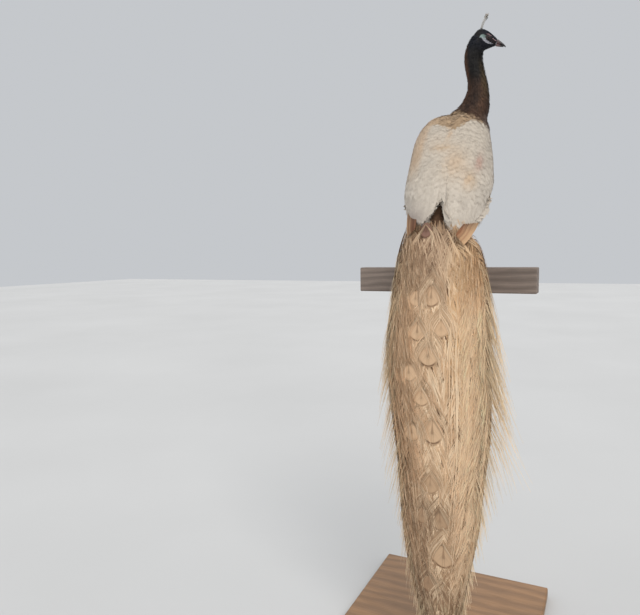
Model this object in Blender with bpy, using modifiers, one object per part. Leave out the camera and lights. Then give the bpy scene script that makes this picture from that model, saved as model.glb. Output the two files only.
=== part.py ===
"""A life-size peacock, still, perched on a cut length of timber rail on a display stand.

The bird looks along +Y with its long train hanging behind the rail, and turns its head to +X.
Heights in the tables are measured from the top of the rail, all lengths are in metres.
"""

import math

import bmesh
import bpy
from mathutils import Matrix, Vector

# ------------------------------------------------------------------ driving dimensions

GAP = 0.0003                       # clearance between pieces that touch
CUT_MARGIN = GAP * 1.6             # how far a cutter stands off the piece it copies
MERGE = 2e-5                       # points nearer than this are one
BASE_SIZE = (0.54, 0.58, 0.030)
BASE_BEVEL = 0.004
RAIL_TOP = 1.070                   # top of the rail above the floor
RAIL_SIZE = (0.50, 0.045, 0.070)
RAIL_BEVEL = 0.003
ROD_RADIUS = 0.011
ROD_X = -0.010
ROD_SIDES = 20
FLANGE_RADIUS = 0.045
FLANGE_THICKNESS = 0.006
FLANGE_CHAMFER = 0.0012
COLLAR_RADIUS = ROD_RADIUS * 1.7   # round the rod's foot
COLLAR_HEIGHT = 0.020
CAP_RADIUS = FLANGE_RADIUS * 0.44  # under the rail
CAP_HEIGHT = 0.004

LEG_MIDDLE = 0.008
FOOT_SPREAD = 0.052                # each foot's distance from the bird's middle
FOOT_BACK = -0.004
HOCK = (0.053, -0.050, 0.116)      # the ankle joint: out, forward, up
SHANK_RADIUS = 0.0068
TOE_RADIUS = 0.0056
FOOT_PAD_RADIUS = 0.0105
FOOT_PAD_HEIGHT = 0.0088
FOOT_PAD_FLATTEN = 0.72
SPUR_LENGTH = 0.021
SPUR_RISE = 0.004
SPUR_ROOT = (-0.002, -0.0265, 0.058)   # from the ankle in X, then y and height
SPUR_HEADING = (-0.55, -0.80, 0.10)    # inward, back, up

HEAD_BACK = Vector((0.043, 0.113, 0.660))
HEAD_TURN = math.radians(10.4)     # the bill points to +X and this far towards +Y
HEAD_DIP = math.radians(18)
EYE_RADIUS = 0.0064
EYE_PLACE = (0.0508, -0.0004, 0.0160)   # along, above and beside the head's axis

CREST_COUNT = 8
CREST_LENGTH = 0.048
CREST_FAN = math.radians(52)
CREST_ROOT = (0.0205, 0.0225)      # along and above the head's axis
CREST_PAD_RADIUS = 0.0052
CREST_LEAN = 0.10
CREST_ROOT_SPREAD = 0.007
CREST_SHORTEN = 0.16               # how much shorter the outer shafts are
# A crest shaft's radius by the share of its length.
CREST_SHAFT = ((0.0, 0.0008), (0.45, 0.0007), (0.78, 0.0007), (0.86, 0.0021), (0.95, 0.0024), (1.0, 0.0008))

# Horizontal slices: height, rear edge, front edge, half width, middle in X.
TRUNK = (
    (0.112, -0.142, -0.112, 0.022, 0.012),
    (0.122, -0.151, -0.090, 0.034, 0.012),
    (0.142, -0.152, -0.038, 0.052, 0.012),
    (0.172, -0.144, 0.046, 0.075, 0.011),
    (0.212, -0.124, 0.126, 0.096, 0.010),
    (0.260, -0.094, 0.180, 0.106, 0.006),
    (0.310, -0.057, 0.203, 0.106, 0.002),
    (0.355, -0.018, 0.208, 0.101, -0.001),
    (0.395, 0.022, 0.203, 0.090, 0.003),
    (0.425, 0.050, 0.193, 0.078, 0.014),
    (0.446, 0.072, 0.184, 0.0560, 0.0375),
)
NECK = (
    (0.446, 0.072, 0.184, 0.0560, 0.0375),
    (0.462, 0.082, 0.176, 0.0458, 0.0497),
    (0.482, 0.088, 0.168, 0.0380, 0.0570),
    (0.515, 0.091, 0.156, 0.0300, 0.0630),
    (0.551, 0.091, 0.148, 0.0280, 0.0570),
    (0.590, 0.088, 0.143, 0.0275, 0.0498),
    (0.622, 0.088, 0.143, 0.0247, 0.0513),
    (0.645, 0.093, 0.140, 0.0218, 0.0563),
    (0.660, 0.099, 0.135, 0.0150, 0.0630),
    (0.668, 0.104, 0.130, 0.0085, 0.0665),
)
TRAIN = (
    (-1.010, -0.186, -0.181, 0.012, 0.043),
    (-0.985, -0.190, -0.176, 0.032, 0.043),
    (-0.930, -0.198, -0.175, 0.050, 0.041),
    (-0.853, -0.207, -0.178, 0.064, 0.039),
    (-0.769, -0.217, -0.182, 0.084, 0.038),
    (-0.657, -0.227, -0.188, 0.100, 0.043),
    (-0.549, -0.234, -0.191, 0.109, 0.045),
    (-0.441, -0.240, -0.193, 0.120, 0.048),
    (-0.336, -0.244, -0.193, 0.129, 0.043),
    (-0.208, -0.244, -0.188, 0.132, 0.035),
    (-0.078, -0.236, -0.178, 0.124, 0.040),
    (0.004, -0.223, -0.164, 0.115, 0.036),
    (0.060, -0.204, -0.149, 0.100, 0.028),
    (0.092, -0.185, -0.138, 0.086, 0.018),
    (0.128, -0.168, -0.128, 0.070, 0.008),
)
TAIL = (
    (-0.240, -0.184, -0.179, 0.094, 0.030),
    (-0.225, -0.184, -0.176, 0.104, 0.030),
    (-0.140, -0.173, -0.164, 0.102, 0.028),
    (-0.030, -0.156, -0.146, 0.084, 0.022),
    (0.060, -0.139, -0.127, 0.062, 0.014),
    (0.125, -0.122, -0.106, 0.044, 0.006),
)
# Folded wings: height, half width outside, rear edge, front edge, inner and outer limit in degrees
# round the slice from the middle of the back, thickness, middle in X.
WING = (
    (0.112, 0.0870, -0.190, -0.040, 26, 46, 0.010, 0.019),
    (0.122, 0.0940, -0.192, -0.020, 17, 60, 0.011, 0.020),
    (0.142, 0.1020, -0.188, 0.020, 9, 74, 0.013, 0.019),
    (0.168, 0.1130, -0.177, 0.090, 4, 86, 0.016, 0.014),
    (0.195, 0.1200, -0.160, 0.130, 1.5, 96, 0.020, 0.009),
    (0.225, 0.1230, -0.137, 0.160, 0, 105, 0.024, 0.007),
    (0.265, 0.1210, -0.107, 0.195, 0, 114, 0.024, 0.0025),
    (0.310, 0.1170, -0.070, 0.216, 0, 121, 0.022, -0.002),
    (0.350, 0.1130, -0.033, 0.221, 0, 125, 0.020, -0.006),
    (0.385, 0.1060, 0.002, 0.216, 1, 125, 0.019, -0.007),
    (0.412, 0.0965, 0.030, 0.206, 4, 116, 0.018, -0.004),
    (0.4345, 0.0790, 0.054, 0.194, 14, 98, 0.014, 0.000),
)
WING_PARTING = 8                   # degrees that the wings' parting lies right of the middle
WING_PARTING_GAP = 0.5
WING_DROP = {"left": 1.0, "right": 1.34}   # how far each wing's end reaches down
WING_DROP_FROM = 0.195
PRIMARY = (
    (0.060, 0.108, -0.214, -0.060, 46, 56, 0.0045, 0.014),
    (0.076, 0.108, -0.209, -0.050, 38, 62, 0.0045, 0.014),
    (0.104, 0.102, -0.190, -0.040, 32, 66, 0.0045, 0.013),
    (0.140, 0.092, -0.172, 0.010, 32, 64, 0.0045, 0.012),
)
PRIMARY_SPREAD = {"left": 0.66, "right": 1.08}

# Along the head from its back: distance, height above and below the axis, half width.
HEAD = (
    (0.0070, 0.0070, 0.0100, 0.0080),
    (0.0110, 0.0172, 0.0190, 0.0145),
    (0.0190, 0.0240, 0.0290, 0.0198),
    (0.0320, 0.0250, 0.0350, 0.0222),
    (0.0460, 0.0218, 0.0315, 0.0218),
    (0.0580, 0.0162, 0.0230, 0.0178),
    (0.0680, 0.0112, 0.0160, 0.0132),
    (0.0750, 0.0070, 0.0122, 0.0102),
)
# Along the bill: distance, top, bottom, half width.
BILL_UPPER = (
    (0.0640, 0.0100, -0.0062, 0.0085),
    (0.0760, 0.0068, -0.0066, 0.0082),
    (0.0870, 0.0024, -0.0068, 0.0062),
    (0.0960, -0.0020, -0.0076, 0.0042),
    (0.1010, -0.0052, -0.0090, 0.0022),
    (0.1036, -0.0078, -0.0098, 0.0008),
)
BILL_LOWER = (
    (0.0640, -0.0066, -0.0124, 0.0080),
    (0.0760, -0.0070, -0.0122, 0.0076),
    (0.0870, -0.0072, -0.0114, 0.0056),
    (0.0950, -0.0081, -0.0104, 0.0030),
    (0.0975, -0.0088, -0.0101, 0.0012),
)

# Legs: places out from the bird's middle, forward and up, each with the limb's radius there.
THIGH = (
    ((0.050, 0.018, 0.250), 0.050),
    ((0.062, 0.028, 0.222), 0.048),
    ((0.066, 0.018, 0.196), 0.042),
    ((0.062, -0.004, 0.170), 0.031),
    ((0.056, -0.028, 0.146), 0.020),
    ((HOCK[0], HOCK[1] + 0.004, HOCK[2] + 0.010), 0.0115),
)
SHANK = (
    ((HOCK[0], HOCK[1] + 0.006, HOCK[2] + 0.014), 0.0088),
    ((HOCK[0], HOCK[1], HOCK[2]), 0.0098),
    ((HOCK[0] + 0.0004, HOCK[1] + 0.008, HOCK[2] - 0.018), SHANK_RADIUS),
    ((HOCK[0] + 0.001, HOCK[1] + 0.027, HOCK[2] - 0.062), SHANK_RADIUS * 0.92),
    ((FOOT_SPREAD, FOOT_BACK - 0.004, 0.019), SHANK_RADIUS * 1.08),
)
# Toes: heading, reach over the rail's edge, drop down its face, size.
TOES = {
    "inner": (math.radians(-34), 0.006, 0.010, 0.92),
    "middle": (math.radians(2), 0.004, 0.024, 1.0),
    "outer": (math.radians(36), 0.006, 0.012, 0.92),
    "hind": (math.radians(180), 0.0, 0.006, 0.86),
}
TOE_POINTS = 7
TOE_TAPER = (1.12, 1.0, 0.82)      # shares of its radius: at the root, at most, at the tip
CLAW_LENGTH = {"inner": 0.014, "middle": 0.016, "outer": 0.014, "hind": 0.013}
CLAW_HOOK = 0.22
# A claw's and a spur's radius by the share of its length: of the toe's radius, and in metres.
CLAW = ((-0.15, 0.55), (0.10, 0.62), (0.45, 0.42), (0.80, 0.22), (1.0, 0.06))
SPUR = ((0.0, 0.0042), (0.35, 0.0036), (0.7, 0.0022), (1.0, 0.0005))

# How finely each lofted body is cut: levels along it, sides round it.
FINENESS = {
    "trunk": (15, 26), "neck": (11, 20), "head": (11, 20), "bill": (0, 12), "train": (8, 20),
    "tail": (6, 12), "wing": (13, 10), "primaries": (7, 5), "thigh": (8, 3), "shank": (9, 2),
}
TRAIN_CUTS = (-0.620, -0.230)      # heights where the train is divided
TRAIN_SQUARENESS = 0.82            # 1 is an oval, less is nearer a rounded box
TAIL_SQUARENESS = 0.7

COLOURS = {
    "cream": (0.62, 0.55, 0.46, 0.85, 0.0),
    "train": (0.42, 0.28, 0.17, 0.85, 0.0),
    "dark": (0.030, 0.024, 0.022, 0.75, 0.0),
    "bill": (0.30, 0.22, 0.17, 0.45, 0.0),
    "eye": (0.020, 0.012, 0.008, 0.10, 0.0),
    "scale": (0.33, 0.27, 0.22, 0.60, 0.0),
    "claw": (0.12, 0.09, 0.07, 0.40, 0.0),
    "timber": (0.11, 0.085, 0.065, 0.80, 0.0),
    "plinth": (0.36, 0.22, 0.12, 0.50, 0.0),
    "steel": (0.55, 0.55, 0.56, 0.35, 1.0),
}


# ------------------------------------------------------------------ helpers

def clear_scene():
    """Remove every object of the starting scene."""
    for obj in list(bpy.data.objects):
        bpy.data.objects.remove(obj, do_unlink=True)


def new_collection(name):
    group = bpy.data.collections.new(name)
    bpy.context.scene.collection.children.link(group)
    return group


def material(name):
    """One Principled material of the colour table."""
    found = bpy.data.materials.get(name)
    if found:
        return found
    red, green, blue, roughness, metallic = COLOURS[name]
    made = bpy.data.materials.new(name)
    made.use_nodes = True
    made.diffuse_color = (red, green, blue, 1.0)
    shader = made.node_tree.nodes["Principled BSDF"]
    shader.inputs["Base Color"].default_value = (red, green, blue, 1.0)
    shader.inputs["Roughness"].default_value = roughness
    shader.inputs["Metallic"].default_value = metallic
    return made


def add_object(name, mesh, colour, group):
    obj = bpy.data.objects.new(name, mesh)
    group.objects.link(obj)
    mesh.materials.clear()
    mesh.materials.append(material(colour))
    return obj


def mesh_from(build, name, smooth=True):
    """A mesh filled by build(bm), with its faces pointing out."""
    bm = bmesh.new()
    build(bm)
    bmesh.ops.recalc_face_normals(bm, faces=bm.faces)
    mesh = bpy.data.meshes.new(name)
    bm.to_mesh(mesh)
    bm.free()
    if smooth:
        mesh.shade_smooth()
        mesh.set_sharp_from_angle(angle=math.radians(45))
    return mesh


def smooth_row(table, key):
    """The table's row at a key between its first and last, on a smooth curve through its rows."""
    last = len(table) - 1
    i = 0
    while i < last - 1 and key > table[i + 1][0]:
        i += 1
    before, here = table[max(i - 1, 0)], table[i]
    there, after = table[i + 1], table[min(i + 2, last)]
    step = there[0] - here[0]
    t = (key - here[0]) / step
    row = [key]
    for c in range(1, len(here)):
        slope_in = (there[c] - before[c]) / (there[0] - before[0]) * step
        slope_out = (after[c] - here[c]) / (after[0] - here[0]) * step
        row.append(
            here[c] * (2 * t ** 3 - 3 * t ** 2 + 1)
            + slope_in * (t ** 3 - 2 * t ** 2 + t)
            + there[c] * (3 * t ** 2 - 2 * t ** 3)
            + slope_out * (t ** 3 - t ** 2)
        )
    return row


def spaced(first, last, count):
    return [first + (last - first) * i / (count - 1) for i in range(count)]


def above_rail(x, y, height):
    return Vector((x, y, RAIL_TOP + height))


def oval_point(angle, half_width, rear, front, middle, power):
    """A point of a rounded oval, its angle measured from the rear."""
    side, back = math.sin(angle), -math.cos(angle)
    x = math.copysign(abs(side) ** power, side) * half_width
    y = math.copysign(abs(back) ** power, back) * (front - rear) / 2
    return middle + x, (front + rear) / 2 + y


def skin_rings(bm, rings):
    """Join closed rings of equal count into one closed body."""
    loops = [[bm.verts.new(p) for p in ring] for ring in rings]
    for low, high in zip(loops, loops[1:]):
        for i in range(len(low)):
            j = (i + 1) % len(low)
            bm.faces.new((low[i], low[j], high[j], high[i]))
    bm.faces.new(reversed(loops[0]))
    bm.faces.new(loops[-1])


def slice_loft(name, table, low, high, levels, sides, colour, group, power=1.0):
    """A body lofted through horizontal slices between two heights."""
    rings = []
    for height in spaced(low, high, levels):
        _, rear, front, half_width, middle = smooth_row(table, height)
        ring = []
        for k in range(sides):
            x, y = oval_point(math.tau * k / sides, half_width, rear, front, middle, power)
            ring.append(above_rail(x, y, height))
        rings.append(ring)
    mesh = mesh_from(lambda bm: skin_rings(bm, rings), name)
    return add_object(name, mesh, colour, group)


def shell_loft(name, table, side, levels, steps, colour, group, shift=0.0, spread=1.0, drop=1.0):
    """A curved shell on one side of the body, a crescent at every height."""
    rings = []
    for height in spaced(table[0][0], table[-1][0], levels):
        _, half_width, rear, front, start, end, inset, middle = smooth_row(table, height)
        start = math.radians(max(start * spread, 0.0) + side * shift + WING_PARTING_GAP)
        end = math.radians(end * spread)
        if height < WING_DROP_FROM:
            height = WING_DROP_FROM + (height - WING_DROP_FROM) * drop
        outer, inner = [], []
        for k in range(steps):
            angle = start + (end - start) * k / (steps - 1)
            x, y = oval_point(angle, half_width, rear, front, 0.0, 1.0)
            outer.append(above_rail(side * x + middle, y, height))
            x, y = oval_point(angle, half_width - inset, rear + inset, front - inset, 0.0, 1.0)
            inner.append(above_rail(side * x + middle, y, height))
        rings.append(outer + inner[::-1])
    mesh = mesh_from(lambda bm: skin_rings(bm, rings), name)
    return add_object(name, mesh, colour, group)


def head_frame():
    """The head's axes: forward along the bill, to its left side, and up."""
    forward = Vector((
        math.cos(HEAD_TURN) * math.cos(HEAD_DIP),
        math.sin(HEAD_TURN) * math.cos(HEAD_DIP),
        -math.sin(HEAD_DIP),
    ))
    left = Vector((-math.sin(HEAD_TURN), math.cos(HEAD_TURN), 0.0))
    return forward, left, forward.cross(left)


def head_point(along, up, beside):
    forward, left, top = head_frame()
    return above_rail(*HEAD_BACK) + forward * along + top * up + left * beside


def head_loft(name, rows, sides, colour, group):
    """A body lofted along the head: each row has a distance, a top, a bottom and a half width."""
    rings = []
    for along, top, bottom, half_width in rows:
        ring = []
        for k in range(sides):
            beside, up = oval_point(math.tau * k / sides, half_width, bottom, top, 0.0, 1.0)
            ring.append(head_point(along, up, beside))
        rings.append(ring)
    mesh = mesh_from(lambda bm: skin_rings(bm, rings), name)
    return add_object(name, mesh, colour, group)


def limb(name, points, radii, colour, group, resolution=2):
    """A tapering round limb along a line of points, as one closed mesh."""
    curve = bpy.data.curves.new(name, "CURVE")
    curve.dimensions = "3D"
    curve.bevel_depth = 1.0
    curve.bevel_resolution = resolution
    curve.use_fill_caps = True
    spline = curve.splines.new("POLY")
    spline.points.add(len(points) - 1)
    for spot, place, radius in zip(spline.points, points, radii):
        spot.co = (*place, 1.0)
        spot.radius = radius
    holder = bpy.data.objects.new(name + "_curve", curve)
    group.objects.link(holder)
    bpy.context.view_layer.update()
    evaluated = holder.evaluated_get(bpy.context.evaluated_depsgraph_get())
    mesh = bpy.data.meshes.new_from_object(evaluated)
    bpy.data.objects.remove(holder, do_unlink=True)
    weld(mesh)
    return add_object(name, mesh, colour, group)


def weld(mesh):
    bm = bmesh.new()
    bm.from_mesh(mesh)
    bmesh.ops.remove_doubles(bm, verts=bm.verts, dist=1e-6)
    bmesh.ops.recalc_face_normals(bm, faces=bm.faces)
    bm.to_mesh(mesh)
    bm.free()


def curve_through(points, count):
    """Evenly numbered points on a smooth curve through a few chosen ones."""
    table = [(float(i), *p) for i, p in enumerate(points)]
    return [Vector(smooth_row(table, t)[1:]) for t in spaced(0, len(points) - 1, count)]


def evaluated_mesh(obj):
    bpy.context.view_layer.update()
    graph = bpy.context.evaluated_depsgraph_get()
    return bpy.data.meshes.new_from_object(obj.evaluated_get(graph))


def boolean(obj, other, operation):
    """Apply one Boolean to obj, and remove the helper."""
    keep_largest(obj.data)
    step = obj.modifiers.new(operation, "BOOLEAN")
    step.object = other
    step.operation = operation
    step.solver = "EXACT"
    mesh = evaluated_mesh(obj)
    obj.modifiers.clear()
    obj.data = mesh
    keep_largest(mesh)
    bpy.data.objects.remove(other, do_unlink=True)


def keep_largest(mesh):
    """Merge near points, and drop the crumbs that a cut leaves beside the main body."""
    bm = bmesh.new()
    bm.from_mesh(mesh)
    bmesh.ops.remove_doubles(bm, verts=bm.verts, dist=MERGE)
    bmesh.ops.dissolve_degenerate(bm, edges=bm.edges, dist=MERGE / 2)
    left = set(bm.faces)
    islands = []
    while left:
        stack = [left.pop()]
        island = list(stack)
        while stack:
            face = stack.pop()
            for edge in face.edges:
                for other in edge.link_faces:
                    if other in left:
                        left.remove(other)
                        stack.append(other)
                        island.append(other)
        islands.append(island)
    islands.sort(key=len)
    for island in islands[:-1]:
        bmesh.ops.delete(bm, geom=island, context="FACES")
    bmesh.ops.triangulate(bm, faces=bm.faces)
    loose = [v for v in bm.verts if not v.link_faces]
    bmesh.ops.delete(bm, geom=loose, context="VERTS")
    bm.to_mesh(mesh)
    bm.free()


def swollen_copy(obj, by):
    """A copy of obj grown by a distance along its normals, to cut its neighbours with."""
    mesh = evaluated_mesh(obj)
    bm = bmesh.new()
    bm.from_mesh(mesh)
    bmesh.ops.triangulate(bm, faces=bm.faces)
    bm.normal_update()
    moves = [(v, v.co + v.normal * by) for v in bm.verts]
    for vertex, place in moves:
        vertex.co = place
    bm.to_mesh(mesh)
    bm.free()
    copy = bpy.data.objects.new(obj.name + "_cutter", mesh)
    bpy.data.collections["cutters"].objects.link(copy)
    copy.hide_render = True
    copy.display_type = "WIRE"
    return copy


def carve(obj, *neighbours):
    """Cut obj back to a small gap from each neighbour."""
    for neighbour in neighbours:
        boolean(obj, swollen_copy(neighbour, CUT_MARGIN), "DIFFERENCE")


def join_all(first, *others):
    for other in others:
        boolean(first, other, "UNION")


# ------------------------------------------------------------------ the bird

def build_trunk(group):
    return slice_loft("trunk", TRUNK, TRUNK[0][0], TRUNK[-1][0], *FINENESS["trunk"], "cream", group)


def build_head(group):
    levels, sides = FINENESS["head"]
    rows = []
    for along in spaced(HEAD[0][0], HEAD[-1][0], levels):
        _, up, down, half_width = smooth_row(HEAD, along)
        rows.append((along, up, -down, half_width))
    return head_loft("head", rows, sides, "dark", group)


def build_neck(group):
    return slice_loft("neck", NECK, NECK[0][0] + GAP, NECK[-1][0], *FINENESS["neck"], "dark", group)


def build_bill(group):
    sides = FINENESS["bill"][1]
    upper = head_loft("bill_upper", BILL_UPPER, sides, "bill", group)
    lower = head_loft("bill_lower", BILL_LOWER, sides, "bill", group)
    return upper, lower


def build_eyes(group):
    eyes = []
    along, up, beside = EYE_PLACE
    for name, side in (("eye_left", 1), ("eye_right", -1)):
        def ball(bm):
            bmesh.ops.create_uvsphere(bm, u_segments=12, v_segments=7, radius=EYE_RADIUS)
        mesh = mesh_from(ball, name)
        mesh.transform(Matrix.Translation(head_point(along, up, side * beside)))
        eyes.append(add_object(name, mesh, "eye", group))
    return eyes


def build_crest(group):
    """A transverse fan of bare shafts with small paddles at their tips, on a low pad."""
    forward, left, top = head_frame()
    root = head_point(*CREST_ROOT, 0.0)

    def pad(bm):
        bmesh.ops.create_uvsphere(bm, u_segments=10, v_segments=6, radius=CREST_PAD_RADIUS)
    crest = add_object("crest", mesh_from(pad, "crest"), "dark", group)
    crest.data.transform(Matrix.Translation(root))
    lean = forward * CREST_LEAN + top
    for i in range(CREST_COUNT):
        share = i / (CREST_COUNT - 1) - 0.5
        spread = share * CREST_FAN
        depth = CREST_LEAN * math.cos(i * 2.4)
        along = (lean * math.cos(spread) + left * math.sin(spread) + forward * depth).normalized()
        length = CREST_LENGTH * (1.0 - CREST_SHORTEN * abs(share) * 2)
        start = root + left * spread * CREST_ROOT_SPREAD - top * GAP * 2 * (i % 3)
        points = [start + along * length * reach for reach, _ in CREST_SHAFT]
        radii = [radius for _, radius in CREST_SHAFT]
        join_all(crest, limb("crest_shaft", points, radii, "dark", group, resolution=1))
    return crest


def build_wings(group):
    wings = []
    for name, side in (("left", -1), ("right", 1)):
        wings.append(shell_loft(f"wing_{name}", WING, side, *FINENESS["wing"], "cream", group,
                                shift=WING_PARTING, drop=WING_DROP[name]))
    return wings


def build_primaries(group):
    made = []
    for name, side in (("left", -1), ("right", 1)):
        made.append(shell_loft(f"primaries_{name}", PRIMARY, side, *FINENESS["primaries"], "train", group,
                               spread=PRIMARY_SPREAD[name]))
    return made


def build_train(group):
    """The train in three lengths, one above the other."""
    cuts = (TRAIN[0][0], *TRAIN_CUTS, TRAIN[-1][0])
    lengths = []
    for name, low, high in zip(("train_lower", "train_middle", "train_upper"), cuts, cuts[1:]):
        top = high - GAP if high < cuts[-1] else high
        lengths.append(slice_loft(name, TRAIN, low, top, *FINENESS["train"], "train", group,
                                  power=TRAIN_SQUARENESS))
    return lengths


def build_tail(group):
    return slice_loft("tail", TAIL, TAIL[0][0], TAIL[-1][0], *FINENESS["tail"], "train", group,
                      power=TAIL_SQUARENESS)


def mirrored(point, side):
    return (LEG_MIDDLE + side * point[0], point[1], RAIL_TOP + point[2])


def tapered(stations, side, count):
    """Places and radii at even steps along a leg's stations."""
    points = curve_through([mirrored(place, side) for place, _ in stations], count)
    table = [(float(i), radius) for i, (_, radius) in enumerate(stations)]
    return points, [smooth_row(table, t)[1] for t in spaced(0, len(stations) - 1, count)]


def build_leg_length(name, stations, side, colour, group):
    """The thigh or the shank: a tapering limb through its stations."""
    count, resolution = FINENESS[name.split("_")[0]]
    points, radii = tapered(stations, side, count)
    return limb(name, points, radii, colour, group, resolution=resolution)


def toe_route(heading, reach, drop, radius):
    """A toe's middle line: out along the rail's top, round its edge and down its face."""
    sign = 1.0 if math.cos(heading) > 0 else -1.0
    edge = sign * RAIL_SIZE[1] / 2
    bend = RAIL_BEVEL + radius + 2 * GAP
    rest = radius + 2 * GAP
    slope = math.tan(heading)
    start_y = FOOT_BACK
    turn_y = edge - sign * RAIL_BEVEL
    route = [(0.0, start_y, rest + 0.003)]
    route.append(((turn_y - start_y) * slope * 0.55, start_y + (turn_y - start_y) * 0.55, rest + 0.0004))
    side_at_turn = (turn_y - start_y) * slope
    for step in (0.0, 0.4, 0.8):
        angle = step * math.pi / 2
        route.append((
            side_at_turn + slope * sign * bend * math.sin(angle) * 0.6,
            turn_y + sign * bend * math.sin(angle),
            -RAIL_BEVEL + bend * math.cos(angle),
        ))
    side_end = side_at_turn + slope * sign * (bend + reach) * 0.6
    route.append((side_end, turn_y + sign * (bend + 0.0008), -RAIL_BEVEL - drop * 0.5))
    route.append((side_end, turn_y + sign * (bend + 0.0002), -RAIL_BEVEL - drop))
    return route


def build_toe(name, toe, side, group):
    """One toe, with the place, heading and radius of its tip."""
    heading, reach, drop, size = TOES[toe]
    radius = TOE_RADIUS * size
    route = toe_route(heading, reach, drop, radius)
    places = [mirrored((FOOT_SPREAD + x, y, z), side) for x, y, z in route]
    points = curve_through(places, TOE_POINTS)
    root_share, widest, tip_share = TOE_TAPER
    shares = [root_share + (tip_share - root_share) * i / (TOE_POINTS - 1) for i in range(TOE_POINTS)]
    radii = [radius * min(widest, share) for share in shares]
    piece = limb(name, points, radii, "scale", group)
    return piece, points[-1], (points[-1] - points[-3]).normalized(), radii[-1]


def build_claw(name, toe, tip, along, radius, group):
    """A claw that hooks in toward the rail."""
    inward = Vector((0.0, 1.0 if toe == "hind" else -1.0, 0.0))
    length = CLAW_LENGTH[toe]
    points = [tip + along * length * share + inward * CLAW_HOOK * length * max(share, 0.0) ** 2
              for share, _ in CLAW]
    radii = [max(radius * thick, GAP) for _, thick in CLAW]
    return limb(name, points, radii, "claw", group, resolution=1)


def build_foot(side_name, side, group):
    """Four toes joined under a low ball, and their claws."""
    foot = None
    tips = []
    for toe in TOES:
        name = f"foot_{side_name}" if foot is None else "toe"
        piece, tip, along, radius = build_toe(name, toe, side, group)
        tips.append((toe, tip, along, radius))
        if foot is None:
            foot = piece
        else:
            join_all(foot, piece)

    def ball(bm):
        bmesh.ops.create_uvsphere(bm, u_segments=10, v_segments=6, radius=FOOT_PAD_RADIUS)
        for v in bm.verts:
            v.co.z *= FOOT_PAD_FLATTEN
    pad = add_object("pad", mesh_from(ball, "pad"), "scale", group)
    pad.data.transform(Matrix.Translation(mirrored((FOOT_SPREAD, FOOT_BACK, FOOT_PAD_HEIGHT), side)))
    join_all(foot, pad)
    for toe, tip, along, radius in tips:
        carve(build_claw(f"claw_{side_name}_{toe}", toe, tip, along, radius, group), foot)
    return foot


def build_spur(side_name, side, group):
    out, forward, up = SPUR_ROOT
    root = Vector(mirrored((HOCK[0] + out, forward, up), side))
    inward, back, rise = SPUR_HEADING
    along = Vector((side * inward, back, rise)).normalized()
    rise_way = Vector((0.0, 0.0, SPUR_RISE))
    points = [root + along * SPUR_LENGTH * share + rise_way * share ** 2 for share, _ in SPUR]
    return limb(f"spur_{side_name}", points, [radius for _, radius in SPUR], "claw", group, resolution=2)


# ------------------------------------------------------------------ the stand

def add_box(name, size, centre, bevel, colour, group):
    def build(bm):
        bmesh.ops.create_cube(bm, size=1.0)
        for v in bm.verts:
            v.co = Vector([c * s for c, s in zip(v.co, size)])
    obj = add_object(name, mesh_from(build, name, smooth=False), colour, group)
    obj.location = centre
    round_off = obj.modifiers.new("edges", "BEVEL")
    round_off.width = bevel
    round_off.segments = 2
    return obj


def build_stand(group):
    add_box("stand_base", BASE_SIZE, (0, 0, BASE_SIZE[2] / 2), BASE_BEVEL, "plinth", group)
    rail_z = RAIL_TOP - RAIL_SIZE[2] / 2
    add_box("stand_perch", RAIL_SIZE, (0, 0, rail_z), RAIL_BEVEL, "timber", group)

    low, high = BASE_SIZE[2] + GAP, RAIL_TOP - RAIL_SIZE[2] - GAP
    profile = (
        (0.0, high), (CAP_RADIUS, high), (CAP_RADIUS, high - CAP_HEIGHT),
        (ROD_RADIUS, high - CAP_HEIGHT), (ROD_RADIUS, low + COLLAR_HEIGHT + 0.002),
        (COLLAR_RADIUS, low + COLLAR_HEIGHT), (COLLAR_RADIUS, low + FLANGE_THICKNESS),
        (FLANGE_RADIUS, low + FLANGE_THICKNESS - FLANGE_CHAMFER), (FLANGE_RADIUS, low), (0.0, low),
    )
    mesh = bpy.data.meshes.new("stand_rod")
    bm = bmesh.new()
    spots = [bm.verts.new((x, 0.0, z)) for x, z in profile]
    for a, b in zip(spots, spots[1:]):
        bm.edges.new((a, b))
    bm.to_mesh(mesh)
    bm.free()
    rod = add_object("stand_rod", mesh, "steel", group)
    turn = rod.modifiers.new("turn", "SCREW")
    turn.steps = ROD_SIDES
    turn.render_steps = ROD_SIDES
    turn.use_merge_vertices = True
    turn.merge_threshold = 0.0001
    rod.location = (ROD_X, 0, 0)


def main():
    clear_scene()
    group = new_collection("peacock")
    new_collection("cutters")
    build_stand(group)

    trunk = build_trunk(group)
    head = build_head(group)
    neck = build_neck(group)
    bill_upper, bill_lower = build_bill(group)
    eyes = build_eyes(group)
    crest = build_crest(group)
    carve(head, *eyes)
    carve(neck, head)
    carve(bill_upper, head)
    carve(bill_lower, head)
    carve(crest, head)

    wing_left, wing_right = build_wings(group)
    carve(wing_left, trunk, neck)
    carve(wing_right, trunk, neck)

    lower, middle, upper = build_train(group)
    tail = build_tail(group)
    carve(tail, trunk)
    carve(upper, trunk, wing_left, wing_right, tail)
    for piece, wing in zip(build_primaries(group), (wing_left, wing_right)):
        carve(piece, wing, upper, trunk)

    for side_name, side, wing in (("left", -1, wing_left), ("right", 1, wing_right)):
        thigh = build_leg_length(f"thigh_{side_name}", THIGH, side, "cream", group)
        shank = build_leg_length(f"shank_{side_name}", SHANK, side, "scale", group)
        foot = build_foot(side_name, side, group)
        spur = build_spur(side_name, side, group)
        carve(thigh, trunk, wing, shank)
        carve(shank, foot, trunk)
        carve(spur, shank)


main()
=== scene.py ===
import math

import bmesh
import bpy
import numpy as np
from mathutils import Matrix, Vector
from mathutils.bvhtree import BVHTree


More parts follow.
